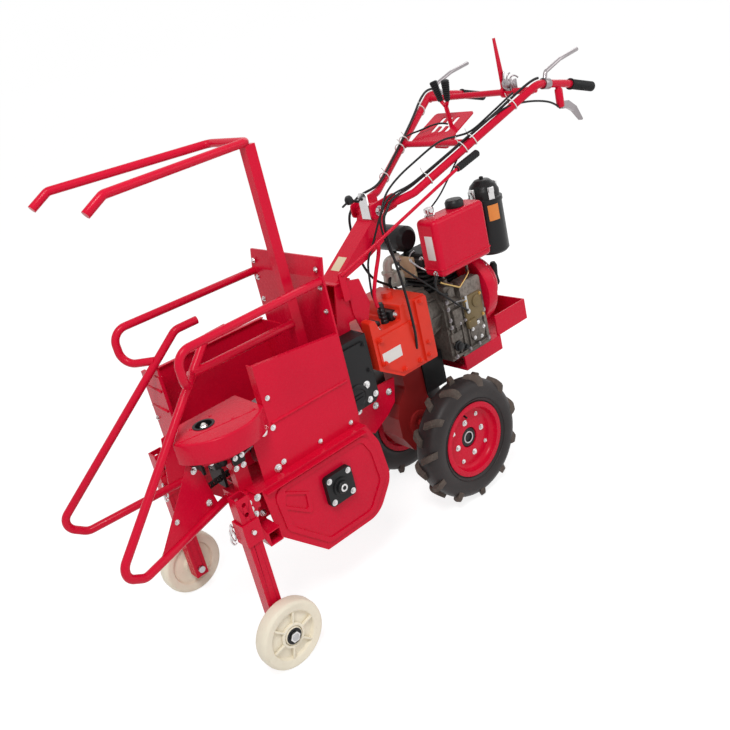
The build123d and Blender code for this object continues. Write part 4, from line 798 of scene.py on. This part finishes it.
# Fuel tank: filler valve on the top corner, tap below and a bare label on the front
bm = bmesh.new()
valve = facing(at(-108, 78, 896), UP)
lathe(bm, valve, [(0, -1), (17, -1), (17, 4), (12, 6), (12, 12), (16, 13), (16, 24), (11, 27), (0, 27)], 18)
lathe(bm, facing(at(-108, 80, 910), (0.5, 1, 0.3)), [(0, 0), (9, 0), (9, 20), (6, 23), (0, 23)], 6)
tap = facing(at(-60, 112, 732), FORWARD)
lathe(bm, tap, [(0, -2), (9, -2), (9, 4), (6, 5), (6, 10), (4, 11), (0, 11)], 6)
finish_piece("fuel_tap", bm, BODY, zinc)
bm = bmesh.new()
block(bm, Matrix.Translation(at(-56.8, 107, 812)), (0.8, 32, 76), 0.3)
finish_piece("tank_label", bm, BODY, label_white)

# Air cleaner: spring clips over the band and a bare orange plate; a bare plate on the gearbox
FILTER = (-364, 70)
CLIP_R = 52.5
CLIP_Z = 894
CLIP_CATCH = Vector((0, 12, 3)) * MM
CLIP_WIRE = (9, -20, 1)
LABEL_R = 54.4
LABEL_FROM = 48
LABEL_STEP = 5
LABEL_LOW = 806
LABEL_HIGH = 857
bm = bmesh.new()
for angle in (0, 69, 180, 249):
    a = math.radians(angle)
    turn = facing(at(FILTER[0] + CLIP_R * math.cos(a), FILTER[1] + CLIP_R * math.sin(a), CLIP_Z), (
        math.cos(a), math.sin(a), 0))
    block(bm, turn, (20, 40, 3), 0.8)
    block(bm, turn @ Matrix.Translation(CLIP_CATCH), (18, 16, 8), 1.6)
    wire_x, wire_y, wire_z = CLIP_WIRE
    tube(bm, [turn @ (Vector((s * wire_x, wire_y, wire_z)) * MM) for s in (-1, 1)], 2.2, 8)
finish_piece("filter_clips", bm, BODY, zinc)
bm = bmesh.new()
for i in range(8):
    low, high = (math.radians(LABEL_FROM + LABEL_STEP * k) for k in (i, i + 1))
    rows = []
    for a, z in ((low, LABEL_LOW), (high, LABEL_LOW), (high, LABEL_HIGH), (low, LABEL_HIGH)):
        rows.append(bm.verts.new(at(FILTER[0] + LABEL_R * math.cos(a), FILTER[1] + LABEL_R * math.sin(a), z)))
    bm.faces.new(rows)
bmesh.ops.remove_doubles(bm, verts=bm.verts, dist=0.00005)
bmesh.ops.solidify(bm, geom=bm.faces[:], thickness=0.0004)
finish_piece("filter_label", bm, BODY, label_orange)
bm = bmesh.new()
plate(bm, [(-37, -18), (37, -18), (37, 18), (-37, 18)], facing(at(170, 104, 561), LEFT), 0.8)
finish_piece("gearbox_label", bm, BODY, label_white)

# Handle fasteners: pivot nuts and the latch cluster beside the flat lever
bm = bmesh.new()
for side in (1, -1):
    nut = facing(at(55, side * 47.4, 966), (0, side, 0))
    lathe(bm, nut, [(7.2, 0), (15, 0), (15, 1.6), (12.5, 1.6), (7.2, 1.6), (7.2, 0)], 24)
    lathe(bm, nut, [(7.2, 1.6), (12, 1.6), (12, 8.4), (10.6, 9.2), (7.2, 9.2), (7.2, 1.6)], 6)
finish_piece("pivot_nuts", bm, BAR, zinc)
bm = bmesh.new()
slab(bm, (-488, 130, 1194), (10, 34, 46), 2.5)
slab(bm, (-498, 144, 1192), (30, 10, 40), 2)
lathe(bm, facing(at(-484, 132, 1202), FORWARD), [(0, 0), (15, 0), (15, 7), (10, 10), (0, 10)], 22)
lathe(bm, facing(at(-492, 142, 1196), LEFT), [(0, 0), (9, 0), (9, 5), (5, 8), (0, 8)], 6)
tube(bm, spline_points([(-486, 120, 1212), (-488, 118, 1226), (-494, 118, 1238)]), 3)
tube(bm, spline_points([(-490, 136, 1208), (-494, 142, 1222), (-504, 152, 1224), (-510, 158, 1214)]), 2.4)
tube(bm, spline_points([(-486, 130, 1214), (-490, 134, 1230), (-500, 136, 1232)]), 2.4)
throttle = finish_piece("throttle", bm, BAR, lever_metal)

# Sleeve of the clutch lever's post
HANDLE_Y = 233
bm = bmesh.new()
sleeve = facing(at(-600, HANDLE_Y, 1097), UP)
lathe(bm, sleeve, [(9.1, 0), (11, 0), (12.5, 2), (12.5, 52), (11, 56), (9.1, 56), (9.1, 0)], 24)
finish_piece("clutch_sleeve", bm, BAR, red_paint)

# Cables from the hand levers along the tubes, over the pivot, to the gearbox and the engine
CABLES = [
    (4.0, [(-522, 223, 1204), (-500, 223, 1206), (-440, 206, 1182), (-360, 176, 1139), (-270, 144, 1098),
           (-180, 113, 1056), (-100, 85, 1019), (-50, 74, 1001), (5, 77, 997), (38, 80, 987), (55, 80, 966),
           (70, 76, 950), (78, 82, 905), (80, 102, 800), (80, 115, 720), (76, 114, 640), (73, 112, 575),
           (73, 103, 538)]),
    (4.0, [(-522, -223, 1204), (-500, -232, 1210), (-440, -214, 1190), (-360, -180, 1145), (-270, -146, 1101),
           (-180, -114, 1058), (-100, -85, 1020), (-50, -74, 1002), (5, -77, 998), (38, -80, 987),
           (55, -80, 966), (70, -83, 946), (74, -84, 900), (68, -81, 800), (40, -74, 730), (0, -66, 700),
           (-40, -61, 672), (-62, -60, 640)]),
    (3.2, [(-596, 233, 1094), (-584, 233, 1106), (-540, 231, 1130), (-457, 222, 1150), (-385, 200, 1152),
           (-335, 176, 1132), (-270, 150, 1103), (-180, 119, 1062), (-100, 90, 1026), (-50, 78, 1008),
           (8, 74, 1005), (44, 72, 992), (62, 68, 968), (78, 60, 940), (104, 46, 880), (134, 40, 838),
           (150, 50, 780), (160, 58, 736), (152, 62, 700)]),
    (3.2, [(-430, 196, 1183), (-350, 168, 1142), (-275, 146, 1106), (-233, 128, 1106), (-188, 110, 1108),
           (-150, 96, 1096), (-100, 82, 1074), (-40, 66, 1048), (10, 58, 1020), (40, 62, 998), (60, 64, 970),
           (76, 62, 940), (84, 80, 880), (78, 100, 812), (40, 108, 768), (-7, 110, 721), (-80, 114, 644),
           (-142, 117, 580), (-156, 116, 570)]),
]
bm = bmesh.new()
for radius, route in CABLES:
    tube(bm, spline_points(route, steps=12), radius, 12)
cables = finish_piece("control_cables", bm, None, black_plastic)
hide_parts("cables_handle", "cables_frame")
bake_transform(cables)
bm = bmesh.new()
stop_route = [
    (-268, 148, 1090), (-240, 144, 1078), (-206, 138, 1044), (-170, 118, 990), (-140, 92, 938),
    (-116, 70, 912)]
tube(bm, spline_points(stop_route, steps=12), 2.6, 10)
stop_cable = finish_piece("stop_cable", bm, None, black_plastic)
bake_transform(stop_cable)
wires("shift_cable", BAR, black_plastic, [
    [(-340, -8, 1120), (-334, -24, 1126), (-322, -58, 1124), (-306, -100, 1112), (-290, -132, 1106),
     (-270, -146, 1099)]], 3)

# Ribbed grips and shift knobs
bm = bmesh.new()
GRIP_WAY = Vector((-112, 0, -33.6)).normalized()
for side in (1, -1):
    profile = [(12.3, 0), (18, 0), (18, 4), (15.4, 6)]
    for i in range(16):
        h = 8 + 6 * i
        profile += [(14.4, h), (15.9, h + 1.2), (15.9, h + 3.6), (14.4, h + 4.8)]
    profile += [(16, 106), (16, 113), (13, 116.6), (0, 116.9)]
    lathe(bm, facing(at(-660, side * HANDLE_Y, 1154), GRIP_WAY), profile, 28)
    neck = Vector((-335, side * 14, 1194))
    tip = Vector((-327, side * 26, 1258))
    profile = [(0, 0), (8, 0), (9, 3)]
    for i in range(8):
        r = 9.5 + i * 0.4
        h = 6 + i * 6.6
        profile += [(r - 1.2, h), (r + 0.6, h + 1.4), (r + 0.6, h + 4.2), (r - 1.2, h + 5.6)]
    profile += [(12.5, 60), (12.5, 63), (9, 65.4), (0, 65.6)]
    lathe(bm, facing(at(*neck), tip - neck), profile, 24)
grips = finish_piece("ribbed_grips", bm, BAR, grip_rubber)
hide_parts("handle_grips")
bm = bmesh.new()
SELECTOR_FOOT = Vector((-186, 150, 1020))
SELECTOR_END = Vector((-276, 157.2, 1043.8))
profile = [(5.2, -2), (9, -2), (10.4, 2)]
for i in range(9):
    h = 8 + 9 * i
    profile += [(10.6, h), (11.6, h + 2), (11.6, h + 6), (10.6, h + 8)]
profile += [(11.4, 90), (8, 94), (0, 94.4)]
lathe(bm, facing(at(*SELECTOR_FOOT), SELECTOR_END - SELECTOR_FOOT), profile, 24)
finish_piece("selector_grip", bm, BODY, grip_rubber)

# White cable ties round each tube and the cables on it
TUBE_FOOT = Vector((-60, 83, 984))
TUBE_TOP = Vector((-505, HANDLE_Y, 1190))
TIE_SHARES = (0.12, 0.40, 0.475, 0.80)
TIE_LEAN = (0, -9, 15)
HOOP_HIGH = 21
HOOP_WIDE = 16
HOOP_STEPS = 12
bm = bmesh.new()
for side in (1, -1):
    way = (TUBE_TOP - TUBE_FOOT).normalized()
    lean = Vector(TIE_LEAN)
    lean = (lean - way * lean.dot(way)).normalized()
    beside = way.cross(lean)
    for share in TIE_SHARES:
        middle = TUBE_FOOT + (TUBE_TOP - TUBE_FOOT) * share + lean * 6
        hoop = []
        for i in range(HOOP_STEPS):
            a = 2 * math.pi * i / HOOP_STEPS
            p = middle + lean * HOOP_HIGH * math.cos(a) + beside * HOOP_WIDE * math.sin(a)
            hoop.append((p.x, side * p.y, p.z))
        tube(bm, spline_points(hoop, closed=True, steps=4), 1.7, 6, closed=True)
        knot = middle + lean * 20
        bend = knot + lean * 9 + beside * 4
        tail = knot + lean * 16 + beside * 14
        tube(bm, spline_points([(p.x, side * p.y, p.z) for p in (knot, bend, tail)]), 1.2, 6)
finish_piece("cable_ties", bm, BAR, tie_plastic)

# Weld beads where tubes and plates meet
WELD_STEPS = 28
BEAD_R = 2.2


def weld_rings(name, body, rows):
    bm = bmesh.new()
    for centre, normal, radius in rows:
        turn = facing(at(*centre), normal)
        points = []
        for i in range(WELD_STEPS):
            a = 2 * math.pi * i / WELD_STEPS
            r = radius + (0.7 if i % 2 else -0.4)
            points.append(turn @ Vector((r * MM * math.cos(a), r * MM * math.sin(a), 0)))
        tube(bm, points, BEAD_R, 6, closed=True)
    return finish_piece(name, bm, body, red_paint)


weld_rows = [((471, 97, 791), FORWARD, 11.5)]
weld_rows += [((391, s * 158, 889), FORWARD, 11.5) for s in (1, -1)]
weld_rows += [((800, s * 98, 436), FORWARD, 11.5) for s in (1, -1)]
weld_rings("frame_welds", BODY, weld_rows)
bar_rows = [((-265, s * 142, 1078), (0, s, 0), 10.6) for s in (1, -1)]
bar_rows += [((-492, s * 220, 1176), (0, s, 0), 10.6) for s in (1, -1)]
weld_rings("handle_welds", BAR, bar_rows)


# Floor that stays pale to the camera and keeps the object's shadow
FLOOR_HALF = 150.0
FLOOR_LIFT = 0.60
FLOOR_GLOW = 1.37


def seen_directly(tree):
    path = tree.nodes.new("ShaderNodeLightPath")
    seen = path.outputs["Is Camera Ray"]
    for name in ("Is Glossy Ray", "Is Transmission Ray"):
        node = tree.nodes.new("ShaderNodeMath")
        node.operation = "MAXIMUM"
        tree.links.new(seen, node.inputs[0])
        tree.links.new(path.outputs[name], node.inputs[1])
        seen = node.outputs[0]
    return seen


def between(tree, value, low, high):
    node = tree.nodes.new("ShaderNodeMapRange")
    node.inputs["To Min"].default_value = low
    node.inputs["To Max"].default_value = high
    tree.links.new(value, node.inputs["Value"])
    return node.outputs["Result"]


floor_mesh = bpy.data.meshes.new("floor")
corner = FLOOR_HALF
floor_places = [(-corner, -corner, 0), (corner, -corner, 0), (corner, corner, 0), (-corner, corner, 0)]
floor_mesh.from_pydata(floor_places, [], [(0, 1, 2, 3)])
floor = bpy.data.objects.new("floor", floor_mesh)
bpy.context.collection.objects.link(floor)
floor_paint = surface(
    "floor_paint", (0.90, 0.90, 0.90), 0.8, (0.86, 0.86, 0.86), spec=0.0, mottle=0.01, speck=0.7)
floor_tree = floor_paint.node_tree
glow = floor_tree.nodes.new("ShaderNodeEmission")
glow.inputs["Strength"].default_value = FLOOR_GLOW
mixed = floor_tree.nodes.new("ShaderNodeMixShader")
floor_tree.links.new(between(floor_tree, seen_directly(floor_tree), 0.0, FLOOR_LIFT), mixed.inputs["Fac"])
floor_tree.links.new(floor_tree.nodes["Principled BSDF"].outputs["BSDF"], mixed.inputs[1])
floor_tree.links.new(glow.outputs["Emission"], mixed.inputs[2])
floor_tree.links.new(mixed.outputs["Shader"], floor_tree.nodes["Material Output"].inputs["Surface"])
floor.data.materials.append(floor_paint)

# Studio light: white surroundings and three soft lamps
WORLD_LEVEL = 0.50
LAMP_AIM = Vector((0, 0, 0.6))
world = bpy.data.worlds.new("studio")
bpy.context.scene.world = world
world.use_nodes = True
sky = world.node_tree
background = sky.nodes["Background"]
background.inputs["Color"].default_value = (1, 1, 1, 1)
sky.links.new(between(sky, seen_directly(sky), WORLD_LEVEL, 1.0), background.inputs["Strength"])


def softbox(name, place, size, power):
    lamp = bpy.data.lights.new(name, "AREA")
    lamp.energy = power
    lamp.size = size
    thing = bpy.data.objects.new(name, lamp)
    thing.location = Vector(place)
    thing.rotation_euler = (LAMP_AIM - thing.location).to_track_quat("-Z", "Y").to_euler()
    bpy.context.collection.objects.link(thing)


softbox("key", (1.6, 1.8, 3.6), 1.1, 72)
softbox("fill", (-2.6, 2.8, 2.2), 2.2, 22)
softbox("back", (-3.2, -1.2, 3.0), 2.2, 24)

# Camera at the photograph's place and framing
camera_data = bpy.data.cameras.new("camera")
camera_data.sensor_width = 36.0
camera_data.sensor_fit = "HORIZONTAL"
camera_data.lens = camera_data.sensor_width * FOCAL_PX / IMAGE_PX
camera_data.shift_x = (IMAGE_PX / 2 - CENTRE_PX[0]) / IMAGE_PX
camera_data.shift_y = (CENTRE_PX[1] - IMAGE_PX / 2) / IMAGE_PX
camera_data.clip_end = 400.0
camera = bpy.data.objects.new("camera", camera_data)
right = Vector(CAMERA_RIGHT).normalized()
back = -Vector(CAMERA_AHEAD).normalized()
up = back.cross(right).normalized()
turn = Matrix((up.cross(back).normalized(), up, back)).transposed().to_4x4()
turn.translation = at(*CAMERA_AT)
camera.matrix_world = turn
bpy.context.collection.objects.link(camera)
bpy.context.scene.camera = camera
bpy.context.scene.view_settings.view_transform = "Standard"
